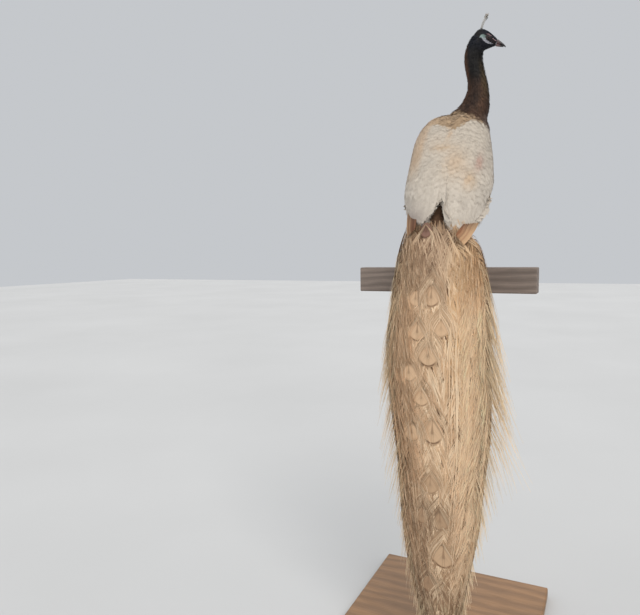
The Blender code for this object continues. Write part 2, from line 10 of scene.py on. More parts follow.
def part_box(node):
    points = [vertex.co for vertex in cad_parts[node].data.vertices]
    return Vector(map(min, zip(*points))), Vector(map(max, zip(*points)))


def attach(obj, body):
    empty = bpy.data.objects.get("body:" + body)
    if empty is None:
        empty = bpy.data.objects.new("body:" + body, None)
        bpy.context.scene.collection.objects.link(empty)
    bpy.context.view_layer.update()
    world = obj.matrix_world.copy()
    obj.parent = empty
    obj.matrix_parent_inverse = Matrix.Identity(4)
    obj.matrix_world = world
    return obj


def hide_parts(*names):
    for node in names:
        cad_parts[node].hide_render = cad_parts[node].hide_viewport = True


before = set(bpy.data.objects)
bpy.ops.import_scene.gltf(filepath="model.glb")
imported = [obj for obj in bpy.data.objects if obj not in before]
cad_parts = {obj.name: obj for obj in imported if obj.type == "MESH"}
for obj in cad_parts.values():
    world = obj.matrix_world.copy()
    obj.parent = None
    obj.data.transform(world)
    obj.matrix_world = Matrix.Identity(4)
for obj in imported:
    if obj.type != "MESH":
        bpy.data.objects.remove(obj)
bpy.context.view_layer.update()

# A peacock of the peach colour form that grips a cut rail, on a display stand.
# x runs along the rail, y points the way the bird faces, z is up, all in metres.

RAIL_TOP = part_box("stand_perch")[1].z
ABOVE_RAIL = np.array([0.0, 0.0, RAIL_TOP])

# ---------------------------------------------------------------- sizes and places

SKIN_STEP = 0.0044
COAT_DEPTH = {
    "head": 0.0012, "neck": 0.0030, "trunk": 0.0055, "wing_left": 0.0045, "wing_right": 0.0045,
    "thigh_left": 0.0050, "thigh_right": 0.0050, "train_upper": 0.0110, "train_middle": 0.0140,
    "train_lower": 0.0150, "shank_left": 0.0003, "shank_right": 0.0003, "foot_left": 0.0003,
    "foot_right": 0.0003,
}
FLESH = list(COAT_DEPTH)
TRAIN = [name for name in FLESH if name.startswith("train")]
LIMBS = [name for name in FLESH if name.startswith(("shank", "foot"))]
FINE_PARTS = LIMBS + ["head"]
ROOT_PATCH = 0.003
PIECE_LIMIT = 190000

# Eyespots of the train: sideways place, height above the rail, half width, how clearly it is marked.
EYESPOTS = [
    (-0.017, -0.068, 0.020, 0.80), (0.024, -0.063, 0.023, 0.85), (-0.010, -0.150, 0.023, 1.00),
    (0.051, -0.140, 0.020, 0.35), (0.019, -0.209, 0.026, 1.00), (-0.033, -0.256, 0.023, 0.80),
    (0.001, -0.318, 0.021, 0.65), (-0.026, -0.412, 0.024, 0.85), (0.029, -0.405, 0.028, 1.00),
    (0.022, -0.545, 0.023, 0.50), (-0.014, -0.574, 0.020, 0.25), (0.000, -0.634, 0.021, 0.60),
    (0.046, -0.640, 0.024, 0.65), (0.054, -0.738, 0.029, 1.00), (0.012, -0.822, 0.024, 0.45),
    (0.052, -0.872, 0.024, 0.55),
]
ROOT_EYESPOT = (-0.003, 0.099, 0.015, 0.9)


def paint(red, green, blue):
    """A colour given as the eye sees it, 0 to 255, as the shader's linear numbers."""
    shown = np.array([red, green, blue], float) / 255.0
    return np.where(shown <= 0.04045, shown / 12.92, ((shown + 0.055) / 1.055) ** 2.4)


CREAM = paint(199, 188, 173)
# LOW_CREAM is a little lighter than CREAM: painted light that offsets the shade on the wings' downward-facing
# lower ends.
LOW_CREAM = paint(202, 192, 179)
PEACH = paint(203, 174, 142)
TAN = paint(172, 146, 116)
APRICOT = paint(206, 162, 120)
PINK_BROWN = paint(166, 134, 110)
GOLD = paint(216, 178, 134)
SAND = paint(211, 176, 140)
# A pale cream that serves two uses: the train's own pale barbs and shafts, and painted highlight on its
# strands.
PALE_STRAND_AND_HIGHLIGHT = paint(244, 218, 184)
# A dark brown that serves two uses: the eyespots' own dark marks, and painted shade for the gaps between the
# train's strands.
DARK_BROWN_AND_GAP_SHADE = paint(104, 74, 50)
WISP_STRAW = paint(206, 186, 152)
RUMP_BROWN = paint(98, 72, 52)
BLADE_RUST = paint(132, 84, 56)
BLADE_BEIGE = paint(200, 162, 124)
FLECK = paint(138, 116, 96)
NECK_BROWN = paint(78, 56, 42)
NECK_RED = paint(104, 70, 48)
NECK_STREAK = paint(40, 30, 26)
NECK_OLIVE = paint(84, 70, 48)
NECK_BLACK = paint(30, 28, 27)
CROWN_BLACK = paint(18, 22, 32)
FACE_MINT = paint(130, 150, 144)
FACE_WHITE = paint(172, 172, 180)
FACE_PINK = paint(158, 128, 130)
EYE_STRIPE = paint(34, 26, 26)
LEG_HORN = paint(150, 138, 122)
BELLY_BROWN = paint(150, 120, 94)


# ---------------------------------------------------------------- small tools

def unit(vectors):
    return vectors / np.maximum(np.linalg.norm(vectors, axis=-1, keepdims=True), 1e-9)


def rise(value, low, high):
    """0 below low, 1 above high, eased in between."""
    t = np.clip((value - low) / (high - low), 0.0, 1.0)
    return t * t * (3.0 - 2.0 * t)


def toward(tone, colour, amount):
    return tone + (colour - tone) * np.asarray(amount)[..., None]


def along_surface(ways, normals):
    """The part of each way that lies along the surface, as a unit direction."""
    return unit(ways - normals * (ways * normals).sum(-1, keepdims=True))


def deselect_all():
    bpy.ops.object.select_all(action="DESELECT")


def activate(piece):
    deselect_all()
    piece.select_set(True)
    bpy.context.view_layer.objects.active = piece


def link_new(name, data):
    piece = bpy.data.objects.new(name, data)
    bpy.context.scene.collection.objects.link(piece)
    return piece


def place_in_mesh(piece):
    piece.data.transform(piece.matrix_world)
    piece.matrix_world = Matrix.Identity(4)


def finish_piece(piece, finish, *replaced):
    """Gives a piece its material, shades it smooth, puts it under the root body and hides the CAD nodes it
    stands for.
    """
    piece.data.materials.append(finish[0])
    piece.data.shade_smooth()
    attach(piece, "root")
    if replaced:
        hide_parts(*replaced)


# ---------------------------------------------------------------- shader trees and groups

SHADER_INPUTS = {
    "specular": "Specular IOR Level", "sheen": "Sheen Weight", "sheen_tint": "Sheen Tint",
    "coat": "Coat Weight", "coat_roughness": "Coat Roughness", "metallic": "Metallic",
}


class Tree:
    """A node tree and short ways to build in it. A value may be a number, a colour or another socket."""

    def __init__(self, tree):
        self.tree = tree

    def feed(self, socket, value):
        if isinstance(value, bpy.types.NodeSocket):
            self.tree.links.new(value, socket)
        else:
            socket.default_value = (*value, 1.0) if socket.type == "RGBA" else value

    def add(self, kind, inputs, **settings):
        node = self.tree.nodes.new("ShaderNode" + kind)
        for key, value in settings.items():
            setattr(node, key, value)
        for key, value in inputs.items():
            self.feed(node.inputs[key], value)
        return node

    def math(self, operation, *values):
        return self.add("Math", dict(enumerate(values)), operation=operation).outputs[0]

    def plus(self, first, second):
        return self.math("ADD", first, second)

    def minus(self, first, second):
        return self.math("SUBTRACT", first, second)

    def times(self, first, second):
        return self.math("MULTIPLY", first, second)

    def largest(self, first, second):
        return self.math("MAXIMUM", first, second)

    def span(self, value, out_low, out_high, low=0.3, high=0.7):
        """The value carried from one range to another, held at its ends. A noise fills about 0.3 to 0.7."""
        return self.add("MapRange", dict(enumerate((value, low, high, out_low, out_high)))).outputs[0]

    def noise(self, vector, scale=1.0, detail=3.0, rough=0.55):
        inputs = {"Vector": vector, "Scale": scale, "Detail": detail, "Roughness": rough}
        return self.add("TexNoise", inputs).outputs["Fac"]

    def stretched(self, vector, scale):
        return self.add("VectorMath", {0: vector, 1: scale}, operation="MULTIPLY").outputs[0]

    def split(self, vector):
        return self.add("SeparateXYZ", {0: vector}).outputs

    def mix(self, factor, first, second, blend="MIX"):
        inputs = {0: factor, 6: first, 7: second}
        return self.add("Mix", inputs, data_type="RGBA", blend_type=blend).outputs[2]

    def shaded(self, colour, shade):
        """The colour made darker or lighter by a shade round 1."""
        grey = self.add("CombineXYZ", {0: shade, 1: shade, 2: shade})
        return self.mix(1.0, colour, grey.outputs[0], "MULTIPLY")

    def group(self, group, **inputs):
        return self.add("Group", inputs, node_tree=group).outputs

    def place(self):
        return self.add("TexCoord", {}).outputs["Object"]

    def mottle(self, large, small):
        """Soft uneven values, broad and fine, over the surface."""
        return self.group(MOTTLE, Place=self.place(), Large=large, Small=small)

    def attribute(self, name, output):
        return self.add("Attribute", {}, attribute_name=name).outputs[output]

    def vane_map(self):
        return self.add("UVMap", {}, uv_map="vane").outputs[0]

    def dress(self, colour, roughness, bump=(), **others):
        """Feeds the shader. bump is a height, its strength and its distance."""
        shader = self.tree.nodes["Principled BSDF"].inputs
        self.feed(shader["Base Color"], colour)
        self.feed(shader["Roughness"], roughness)
        for key, value in others.items():
            self.feed(shader[SHADER_INPUTS[key]], value)
        if bump:
            node = self.add("Bump", dict(zip(("Height", "Strength", "Distance"), bump)))
            self.feed(shader["Normal"], node.outputs[0])


def new_group(name, **inputs):
    """A shader group. Each input has a number to start from, or None where it takes a vector."""
    group = bpy.data.node_groups.new(name, "ShaderNodeTree")
    for label, value in inputs.items():
        kind = "NodeSocketVector" if value is None else "NodeSocketFloat"
        socket = group.interface.new_socket(name=label, in_out="INPUT", socket_type=kind)
        if value is not None:
            socket.default_value = value
    return Tree(group), group.nodes.new("NodeGroupInput").outputs


def close_group(tree, **results):
    for label in results:
        tree.tree.interface.new_socket(name=label, in_out="OUTPUT", socket_type="NodeSocketFloat")
    outlet = tree.tree.nodes.new("NodeGroupOutput")
    for label, value in results.items():
        tree.feed(outlet.inputs[label], value)
    return tree.tree


def barb_group():
    """Fine barbs running outward from a feather's shaft, from its own map: across, along."""
    tree, given = new_group("feather barbs", Map=None, Fineness=60.0, Slant=0.8)
    across, along, _ = tree.split(given["Map"])
    aside = tree.math("ABSOLUTE", tree.minus(across, 0.5))
    line = tree.minus(along, tree.times(aside, given["Slant"]))
    place = tree.add("CombineXYZ", {0: tree.times(line, given["Fineness"]), 1: tree.times(aside, 2.0)})
    return close_group(tree, Barbs=tree.noise(place.outputs[0], detail=2.0))


def mottle_group():
    """Soft uneven values over a surface, in object space."""
    tree, given = new_group("soft mottle", Place=None, Large=30.0, Small=260.0)
    broad, fine = (tree.noise(given["Place"], given[size], 4.0, 0.5) for size in ("Large", "Small"))
    return close_group(tree, Value=broad, Fine=fine)


def grain_group():
    """Sawn timber: long fibres and growth bands along x."""
    tree, given = new_group("timber grain", Place=None, Bands=60.0)
    place = given["Place"]
    warp = tree.noise(tree.stretched(place, (3.0, 9.0, 9.0)), detail=2.0)
    _, y, z = tree.split(place)
    bent = tree.plus(tree.plus(z, tree.times(y, 0.6)), tree.times(warp, 0.05))
    wave = tree.math("SINE", tree.times(tree.times(bent, given["Bands"]), 6.28))
    fibres = tree.noise(tree.stretched(place, (18.0, 520.0, 520.0)))
    stain = tree.noise(tree.stretched(place, (6.0, 14.0, 14.0)), detail=4.0)
    return close_group(tree, Bands=tree.span(wave, 0.0, 1.0, -1.0, 1.0), Fibres=fibres, Stain=stain)


def edge_wear_and_highlight_group():
    """Where sharp edges are made pale, partly worn pale and partly painted highlight: 1 on an edge, 0 on a
    flat.
    """
    tree, given = new_group("edge wear and highlight", Width=0.5)
    raised = tree.minus(tree.add("NewGeometry", {}).outputs["Pointiness"], 0.5)
    spread = tree.times(tree.times(raised, 12.0), given["Width"])
    return close_group(tree, Edge=tree.math("MINIMUM", tree.largest(spread, 0.0), 1.0))


BARBS = barb_group()
MOTTLE = mottle_group()
GRAIN = grain_group()
EDGE_WEAR_AND_HIGHLIGHT = edge_wear_and_highlight_group()


# ---------------------------------------------------------------- materials

def new_material(name):
    material = bpy.data.materials.new(name)
    material.use_nodes = True
    return material, Tree(material.node_tree)


def plumage(name, roughness, depth, sheen, fineness, slant, sheen_tint=(1.0, 1.0, 1.0)):
    """Feather finish: the tone each feather carries, streaked by its barbs and softly mottled."""
    material, tree = new_material(name)
    barbs = tree.group(BARBS, Map=tree.vane_map(), Fineness=fineness, Slant=slant)[0]
    broad, fine = tree.mottle(22.0, 420.0)
    streak = tree.span(barbs, 1.0 - depth, 1.0 + depth * 0.35)
    uneven = tree.span(broad, 1.0 - depth * 0.5, 1.0 + depth * 0.25)
    colour = tree.shaded(tree.attribute("tone", "Color"), tree.times(streak, uneven))
    tree.dress(colour, tree.span(fine, roughness - 0.06, roughness + 0.08), (barbs, 0.35, 0.0006),
               specular=0.25, sheen=sheen, sheen_tint=sheen_tint)
    return material


def toned_material(name, sizes, shades, roughness, bump, **others):
    """A finish that takes the tone each point carries, softly mottled. bump is a strength and a distance."""
    material, tree = new_material(name)
    broad, fine = tree.mottle(*sizes)
    colour = tree.shaded(tree.attribute("tone", "Color"), tree.span(broad, *shades))
    rough = tree.span(fine, *roughness) if isinstance(roughness, tuple) else roughness
    tree.dress(colour, rough, bump and (fine, *bump), **others)
    return material


def eyespot_material():
    """A smooth disc: a dark line widening down to its middle, a faint pair below, a dark arc at its foot."""
    material, tree = new_material("eyespot vane")
    times, minus, span = tree.times, tree.minus, tree.span
    vane = tree.vane_map()
    across, along, _ = tree.split(vane)
    down = times(minus(along, 0.60), 2.5)
    below = tree.largest(down, 0.0)
    outline = tree.math("SQRT", tree.largest(minus(1.0, times(below, below)), 0.0))
    aside = tree.math("ABSOLUTE", times(times(minus(across, 0.5), 2.0), outline))
    barbs = tree.group(BARBS, Map=vane, Fineness=44.0, Slant=1.0)[0]
    away = tree.math("SQRT", tree.plus(times(aside, aside), times(down, down)))
    reach = tree.plus(away, times(minus(barbs, 0.5), 0.08))
    ring = tree.math("ABSOLUTE", minus(reach, 0.88))
    arc = times(span(ring, 1.0, 0.0, 0.03, 0.12), span(down, 0.0, 1.0, 0.30, 0.70))
    past_line = minus(aside, span(down, 0.02, 0.13, -1.2, 0.0))
    line = times(span(past_line, 1.0, 0.0, -0.03, 0.04), span(down, 0.60, 0.0, 0.02, 0.16))
    off_pair = tree.math("ABSOLUTE", minus(aside, 0.09))
    pair = times(span(off_pair, 0.35, 0.0, 0.01, 0.05), span(down, 0.0, 1.0, 0.0, 0.10))
    dark = times(tree.largest(arc, tree.largest(line, pair)), tree.attribute("marked", "Fac"))
    shade = times(span(barbs, 0.90, 1.05, 0.35, 0.65), span(reach, 0.93, 1.03, 0.15, 0.50))
    base = tree.shaded(tree.attribute("tone", "Color"), shade)
    tree.dress(tree.mix(times(dark, 0.85), base, DARK_BROWN_AND_GAP_SHADE), 0.65, (barbs, 0.3, 0.0005), specular=0.25)
    return material


def claw_material():
    """Horn of the claws and spurs: fine growth lines."""
    material, tree = new_material("claw horn")
    place = tree.stretched(tree.place(), (1.0, 1.0, 3.0))
    broad, fine = tree.group(MOTTLE, Place=place, Large=160.0, Small=900.0)
    colour = tree.mix(tree.span(broad, 0.0, 1.0, 0.35, 0.65), paint(92, 82, 70), paint(52, 46, 40))
    tree.dress(colour, tree.span(fine, 0.37, 0.52), (fine, 0.25, 0.0002), coat=0.15)
    return material


def timber_material(name, dark, light, bands, roughness):
    material, tree = new_material(name)
    band, fibre, stain = tree.group(GRAIN, Place=tree.place(), Bands=bands)
    body = tree.mix(tree.span(band, 0.15, 0.85, 0.0, 1.0), dark, light)
    body = tree.shaded(body, tree.times(tree.span(fibre, 0.72, 1.15), tree.span(stain, 0.75, 1.12)))
    # Sharp edges are lightened: partly worn pale, partly painted highlight.
    rub = tree.group(EDGE_WEAR_AND_HIGHLIGHT, Width=0.6)[0]
    body = tree.mix(tree.times(rub, 0.5), body, np.minimum(light * 1.35, 1.0))
    tree.dress(body, tree.span(fibre, roughness + 0.1, roughness - 0.05), (fibre, 0.5, 0.0006))
    return material


def steel_material():
    material, tree = new_material("brushed steel")
    brushed = tree.noise(tree.stretched(tree.place(), (900.0, 900.0, 12.0)), detail=2.0)
    colour = tree.mix(brushed, (0.42, 0.42, 0.43), (0.60, 0.60, 0.61))
    tree.dress(colour, tree.span(brushed, 0.26, 0.42), (brushed, 0.1, 0.0002), metallic=1.0)
    return material


def studio_material():
    material, tree = new_material("pale studio floor")
    factor = tree.span(tree.mottle(0.6, 40.0)[0], 0.0, 1.0)
    tree.dress(tree.mix(factor, (0.56, 0.56, 0.555), (0.60, 0.60, 0.595)), 0.8)
    return material


CREAM_PLUMAGE = plumage("cream body plumage", 0.78, 0.10, 0.12, 46.0, 0.7)
BARE_SKIN = toned_material("skin under the coat", (60.0, 900.0), (0.82, 1.06), (0.55, 0.75), (0.4, 0.0004))
HORN = toned_material("bill horn", (180.0, 1200.0), (0.8, 1.15), (0.32, 0.48), (0.2, 0.0002))

# Each finish is a material and the slot of the record that it belongs to.
CREAM_COAT = (CREAM_PLUMAGE, "cream_plumage")
DARK_COAT = (plumage("dark neck plumage", 0.66, 0.22, 0.01, 40.0, 0.6, (0.55, 0.75, 0.80)), "dark_plumage")
TRAIN_COAT = (plumage("train barbs", 0.66, 0.12, 0.04, 30.0, 0.2), "train_plumage")
EYESPOT_FINISH = (eyespot_material(), "train_plumage")
CREST_SHAFT_FINISH = (CREAM_PLUMAGE, "dark_plumage")
SKIN_FINISH = (BARE_SKIN, "cream_plumage")
LID_FINISH = (BARE_SKIN, "dark_plumage")
BILL_FINISH = (HORN, "bill_horn")
LEG_FINISH = (HORN, "leg_scales")
CLAW_FINISH = (claw_material(), "claw_horn")
EYE_FINISH = (toned_material("wet eye", (900.0, 2400.0), (0.7, 1.3), 0.18, (),
                             specular=0.2, coat=0.18, coat_roughness=0.02), "eye")
STAND_MATERIALS = {
    "stand_perch": timber_material("weathered rail", paint(84, 74, 67), paint(140, 126, 116), 55.0, 0.75),
    "stand_base": timber_material("oiled base wood", paint(104, 74, 46), paint(150, 112, 74), 38.0, 0.5),
    "stand_rod": steel_material(),
}


# ---------------------------------------------------------------- the skin under the coat

def node_surface(names):
    """The CAD surfaces of the named nodes as one search tree, with the node each face belongs to."""
    points = []
    faces = []
    owners = []
    for name in names:
        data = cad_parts[name].data
        start = len(points)
        points.extend(v.co.copy() for v in data.vertices)
        faces.extend([start + i for i in face.vertices] for face in data.polygons)
        owners.extend([name] * len(data.polygons))
    return BVHTree.FromPolygons(points, faces), owners


def owner_of_points(points, tree, owners):
    return np.array([owners[tree.find_nearest(Vector(p))[2]] for p in points])


def read_rows(items, name, width, kind=float):
    """One value of every item of a mesh, as the rows of an array."""
    flat = np.empty(len(items) * width, kind)
    items.foreach_get(name, flat)
    return flat.reshape(-1, width)


def points_of(mesh):
    return read_rows(mesh.vertices, "co", 3)


def normals_of(mesh):
    return read_rows(mesh.vertex_normals, "vector", 3)


def edges_of(mesh):
    return read_rows(mesh.edges, "vertices", 2, int)


def set_points(mesh, points):
    mesh.vertices.foreach_set("co", np.asarray(points, float).ravel())
    mesh.update()


def relaxed(values, edges, pull, rounds):
    """Each point's row of values drawn toward the mean of its neighbours, by the point's own pull."""
    count, width = values.shape
    pull = np.broadcast_to(pull, count)[:, None]
    start, end = np.vstack((edges, edges[:, ::-1])).T
    share = np.maximum(np.bincount(start, minlength=count), 1)[:, None]
    for _ in range(rounds):
        mean = np.stack([np.bincount(start, values[end, axis], count) for axis in range(width)], 1) / share
        values = values + (mean - values) * pull
    return values


def remeshed_copy(names, label, step):
    """One closed and even mesh round a merged copy of the named CAD nodes."""
    built = bmesh.new()
    for name in names:
        built.from_mesh(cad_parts[name].data)
    bmesh.ops.remove_doubles(built, verts=built.verts, dist=0.00002)
    piece = link_new(label, bpy.data.meshes.new(label))
    built.to_mesh(piece.data)
    built.free()
    activate(piece)
    remesh = piece.modifiers.new("remesh", "REMESH")
    remesh.mode = "VOXEL"
    remesh.voxel_size = step
    bpy.ops.object.modifier_apply(modifier=remesh.name)
    return piece


def split_faces(mesh, chosen):
    """Each face whose points are all chosen is cut into four."""
    built = bmesh.new()
    built.from_mesh(mesh)
    built.verts.ensure_lookup_table()
    faces = [f for f in built.faces if all(chosen[v.index] for v in f.verts)]
    edges = list({e for f in faces for e in f.edges})
    bmesh.ops.subdivide_edges(built, edges=edges, cuts=1, use_grid_fill=True)
    built.to_mesh(mesh)
    built.free()
    mesh.update()


def build_skin():
    """One smooth skin round the flesh, drawn in by the depth of the coat, and the part under each point."""
    deselect_all()
    tree, owners = node_surface(FLESH)
    skin = remeshed_copy(FLESH, "skin", SKIN_STEP)
    mesh = skin.data
    for _ in range(2):
        split_faces(mesh, np.isin(owner_of_points(points_of(mesh), tree, owners), FINE_PARTS))
    points = points_of(mesh)
    owner = owner_of_points(points, tree, owners)
    fine = np.isin(owner, FINE_PARTS)
    for index in np.nonzero(fine)[0]:
        points[index] = tree.find_nearest(Vector(points[index]))[0]
    edges = edges_of(mesh)
    points = relaxed(points, edges, np.where(fine, 0.35, 0.5), 4)
    neck_top = near(points, (0.052, 0.118, 0.632), (0.020, 0.030, 0.022))
    points = relaxed(points, edges, 0.5 * rise(neck_top, 0.3, 0.8), 40)
    set_points(mesh, points)
    depth = relaxed(np.array([[COAT_DEPTH[name]] for name in owner]), edges, 0.5, 6)
    inward = -normals_of(mesh)
    for index, way in enumerate(inward):
        start = Vector(points[index]) + Vector(way) * 0.0005
        through = tree.ray_cast(start, Vector(way), 0.08)[3]
        if through is not None:
            depth[index] = min(depth[index, 0], through * 0.36)
    depth = relaxed(depth, edges, 0.5, 3)
    set_points(mesh, relaxed(points + inward * depth, edges, np.where(fine, 0.2, 0.5), 3))
    activate(skin)
    bpy.ops.object.mode_set(mode="EDIT")
    bpy.ops.mesh.select_all(action="SELECT")
    bpy.ops.uv.smart_project(angle_limit=math.radians(60), island_margin=0.001)
    bpy.ops.object.mode_set(mode="OBJECT")
    mesh.uv_layers[0].name = "OFBake"
    return skin, owner


# ---------------------------------------------------------------- the head's own directions

def box_middle(node):
    low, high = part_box(node)
    return np.array((low + high) * 0.5)


EYE_MIDDLE = (box_middle("eye_left") + box_middle("eye_right")) * 0.5
HEAD_SIDE = unit(box_middle("eye_right") - box_middle("eye_left"))
HEAD_LEVEL = np.array([-HEAD_SIDE[1], HEAD_SIDE[0], 0.0])
HEAD_DIP = math.radians(18)
HEAD_FORWARD = HEAD_LEVEL * math.cos(HEAD_DIP) - np.array([0.0, 0.0, math.sin(HEAD_DIP)])
HEAD_UP = np.cross(HEAD_SIDE, HEAD_FORWARD)


def head_places(points):
    """How far ahead of, above and beside the point midway between the eyes each point lies."""
    away = points - EYE_MIDDLE
    return away @ HEAD_FORWARD, away @ HEAD_UP, away @ HEAD_SIDE


def band_mask(ahead, up, path, soft=0.0012):
    """1 inside a band of the side of the head: path lists (ahead, up, half width)."""
    best = np.zeros(len(ahead))
    for first, second in zip(path, path[1:]):
        run = np.array(second[:2]) - np.array(first[:2])
        t = np.clip(((ahead - first[0]) * run[0] + (up - first[1]) * run[1]) / (run @ run), 0.0, 1.0)
        gap = np.hypot(ahead - first[0] - run[0] * t, up - first[1] - run[1] * t)
        half = first[2] + (second[2] - first[2]) * t
        best = np.maximum(best, 1.0 - rise(gap, half - soft, half + soft))
    return best


WHITE_PATCH = [
    (-0.0240, -0.0040, 0.0013), (-0.0190, 0.0014, 0.0042), (-0.0160, -0.0006, 0.0046),
    (-0.0098, -0.0078, 0.0028), (-0.0025, -0.0114, 0.0024), (0.0050, -0.0120, 0.0019),
    (0.0115, -0.0116, 0.0010),
]
BROW_LINE = [(-0.010, 0.0088, 0.0006), (-0.004, 0.0098, 0.0012), (0.002, 0.0082, 0.0007)]
LORE_LINE = [(0.010, 0.0020, 0.0007), (0.017, 0.0005, 0.0010), (0.030, -0.0010, 0.0008)]
EYE_BAND = [(-0.012, 0.003, 0.0040), (0.0, 0.0, 0.0062), (0.014, -0.0050, 0.0050), (0.026, -0.006, 0.003)]


def head_tone(points, normals=None):
    """The head's markings. Like every tone it may be given normals, which it has no need of."""
    ahead, up, beside = head_places(points)
    side = rise(np.abs(beside), 0.0060, 0.0095)
    brow_side = rise(np.abs(beside), 0.004, 0.007)
    white = toward(FACE_MINT, FACE_WHITE, rise(-up, 0.000, 0.010))
    tone = np.tile(CROWN_BLACK, (len(points), 1))
    tone = toward(tone, NECK_BLACK, rise(-ahead, 0.015, 0.035))
    tone = toward(tone, EYE_STRIPE, band_mask(ahead, up, EYE_BAND, 0.002) * side)
    tone = toward(tone, white, band_mask(ahead, up, WHITE_PATCH) * side)
    tone = toward(tone, FACE_PINK, band_mask(ahead, up, BROW_LINE, 0.0006) * brow_side)
    return toward(tone, FACE_PINK, band_mask(ahead, up, LORE_LINE, 0.0006) * side)


def bare_face(points):
    ahead, up, beside = head_places(points)
    bare = sum(band_mask(ahead, up, path, 0.0006) for path in (WHITE_PATCH, BROW_LINE, LORE_LINE))
    return bare * (np.abs(beside) > 0.006)


# ---------------------------------------------------------------- the plumage's markings

# Heights of five levels of the neck, with its middle and its half width at each.
NECK_LEVELS = (0.446, 0.50, 0.55, 0.60, 0.645)
NECK_MIDDLE = (0.0375, 0.061, 0.057, 0.050, 0.056)
NECK_HALF = (0.056, 0.034, 0.028, 0.027, 0.022)
# Where the dark neck's feathers end on the back: sideways places and heights.
NECK_FOOT = (
    (-0.030, 0.012, 0.034, 0.052, 0.063, 0.081, 0.097),
    (0.452, 0.446, 0.434, 0.424, 0.417, 0.407, 0.390),
)
# Where the tan mantle meets the cream back: sideways places and heights.
MANTLE_EDGE = (
    (-0.120, -0.090, -0.069, -0.036, -0.011, 0.020, 0.040, 0.063, 0.081, 0.097, 0.120),
    (0.350, 0.385, 0.405, 0.403, 0.392, 0.376, 0.394, 0.411, 0.404, 0.400, 0.400),
)
# Patches of the back: place, reach, colour and strength.
BACK_PATCHES = [
    ((0.097, -0.045, 0.284), (0.008, 0.05, 0.027), paint(182, 138, 122), 0.75),
    ((0.085, -0.105, 0.232), (0.013, 0.05, 0.026), PEACH, 0.85),
    ((0.014, -0.020, 0.362), (0.008, 0.05, 0.018), PEACH, 0.60),
    ((0.005, -0.060, 0.322), (0.026, 0.05, 0.0045), paint(176, 150, 118), 0.50),
    ((0.045, -0.080, 0.275), (0.028, 0.06, 0.050), PEACH, 0.60),
    ((-0.030, -0.080, 0.360), (0.034, 0.06, 0.030), PEACH, 0.35),
    ((0.000, -0.060, 0.325), (0.030, 0.06, 0.014), PEACH, 0.45),
    ((-0.085, -0.050, 0.300), (0.022, 0.06, 0.040), PEACH, 0.65),
    # Grey on the lower left of the wing: painted shade.
    ((-0.045, -0.150, 0.130), (0.040, 0.06, 0.022), paint(166, 152, 144), 0.85),
    # Grey at the right edge of the notch between the wings: painted shade.
    ((0.026, -0.180, 0.134), (0.007, 0.06, 0.014), paint(160, 152, 142), 0.60),
]


def heights(points):
    return points[..., 2] - RAIL_TOP


def near(points, place, reach):
    """1 at a place given as x, y and height above the rail, fading out over the reach."""
    away = (points - (np.array(place) + ABOVE_RAIL)) / np.array(reach)
    return np.exp(-(away ** 2).sum(1))


def streaks(x, h):
    """Soft streaks that run down the plumage, from -1 to 1."""
    broad = np.sin(x * 260.0 + 3.0 * np.sin(h * 14.0 + x * 30.0))
    return 0.6 * broad + 0.4 * np.sin(x * 640.0 + 2.4 * np.sin(h * 23.0 - x * 40.0))


def body_tone(points, normals):
    """Cream back with a peach left side, tan mantle, brown and black neck."""
    x = points[:, 0]
    h = heights(points)
    rear = rise(-normals[:, 1], -0.35, 0.25)
    collar = (1.0 - rear) * (1.0 - rise(np.abs(x - 0.045), 0.055, 0.085))
    mantle = toward(TAN, PEACH, 0.75 * rise(-x, 0.022, 0.050))
    across_neck = (x - np.interp(h, NECK_LEVELS, NECK_MIDDLE)) / np.interp(h, NECK_LEVELS, NECK_HALF)
    sway = across_neck + 0.12 * np.sin(h * 90.0)
    neck = rise(h, 0.42, 0.46)
    olive = rise(across_neck, 0.35, 0.75) * rise(h, 0.46, 0.52) * (1.0 - rise(h, 0.56, 0.60))
    tone = np.tile(CREAM, (len(points), 1))
    # The lower wing takes the lighter cream: painted light against the shade where it faces down.
    tone = toward(tone, LOW_CREAM, 0.75 * (1.0 - rise(h, 0.13, 0.27)))
    tone = toward(tone, PEACH, 0.80 * rise(-x, 0.040, 0.070) * rise(h, 0.20, 0.34))
    for place, reach, colour, amount in BACK_PATCHES:
        tone = toward(tone, colour, near(points, place, reach) * amount)
    tone = tone * (1.0 + 0.035 * streaks(x, h))[:, None]
    tone = toward(tone, mantle, rise(h - np.interp(x, *MANTLE_EDGE), -0.003, 0.004) * rear)
    tone = toward(tone, BELLY_BROWN, 0.45 * collar * rise(h, 0.28, 0.37))
    tone = toward(tone, NECK_BROWN, collar * rise(h, 0.34, 0.42))
    tone = toward(tone, NECK_BROWN, rise(h - np.interp(x, *NECK_FOOT), -0.004, 0.008))
    tone = toward(tone, NECK_RED, rise(h, 0.435, 0.455) * (1.0 - rise(across_neck, -0.75, -0.20)))
    tone = toward(tone, NECK_STREAK, 0.75 * neck * np.exp(-((sway - 0.05) / 0.33) ** 2))
    tone = toward(tone, NECK_BLACK, rise(h, 0.51, 0.56) * rise(across_neck, -0.85, -0.25))
    tone = toward(tone, NECK_OLIVE, 0.7 * olive)
    tone = toward(tone, NECK_BLACK, collar * rise(h, 0.40, 0.47))
    tone = tone * (1.0 + 0.30 * neck * streaks(x * 1.4, h))[:, None]
    return toward(tone, CROWN_BLACK, rise(h, 0.600, 0.635) * rise(across_neck, -1.0, -0.4))


def rump_tone(points, normals):
    """The trunk's tone: its lower back is brown where it shows between the wings."""
    rear = rise(-normals[:, 1], -0.1, 0.4)
    return toward(body_tone(points, normals), RUMP_BROWN, rear * (1.0 - rise(heights(points), 0.19, 0.22)))


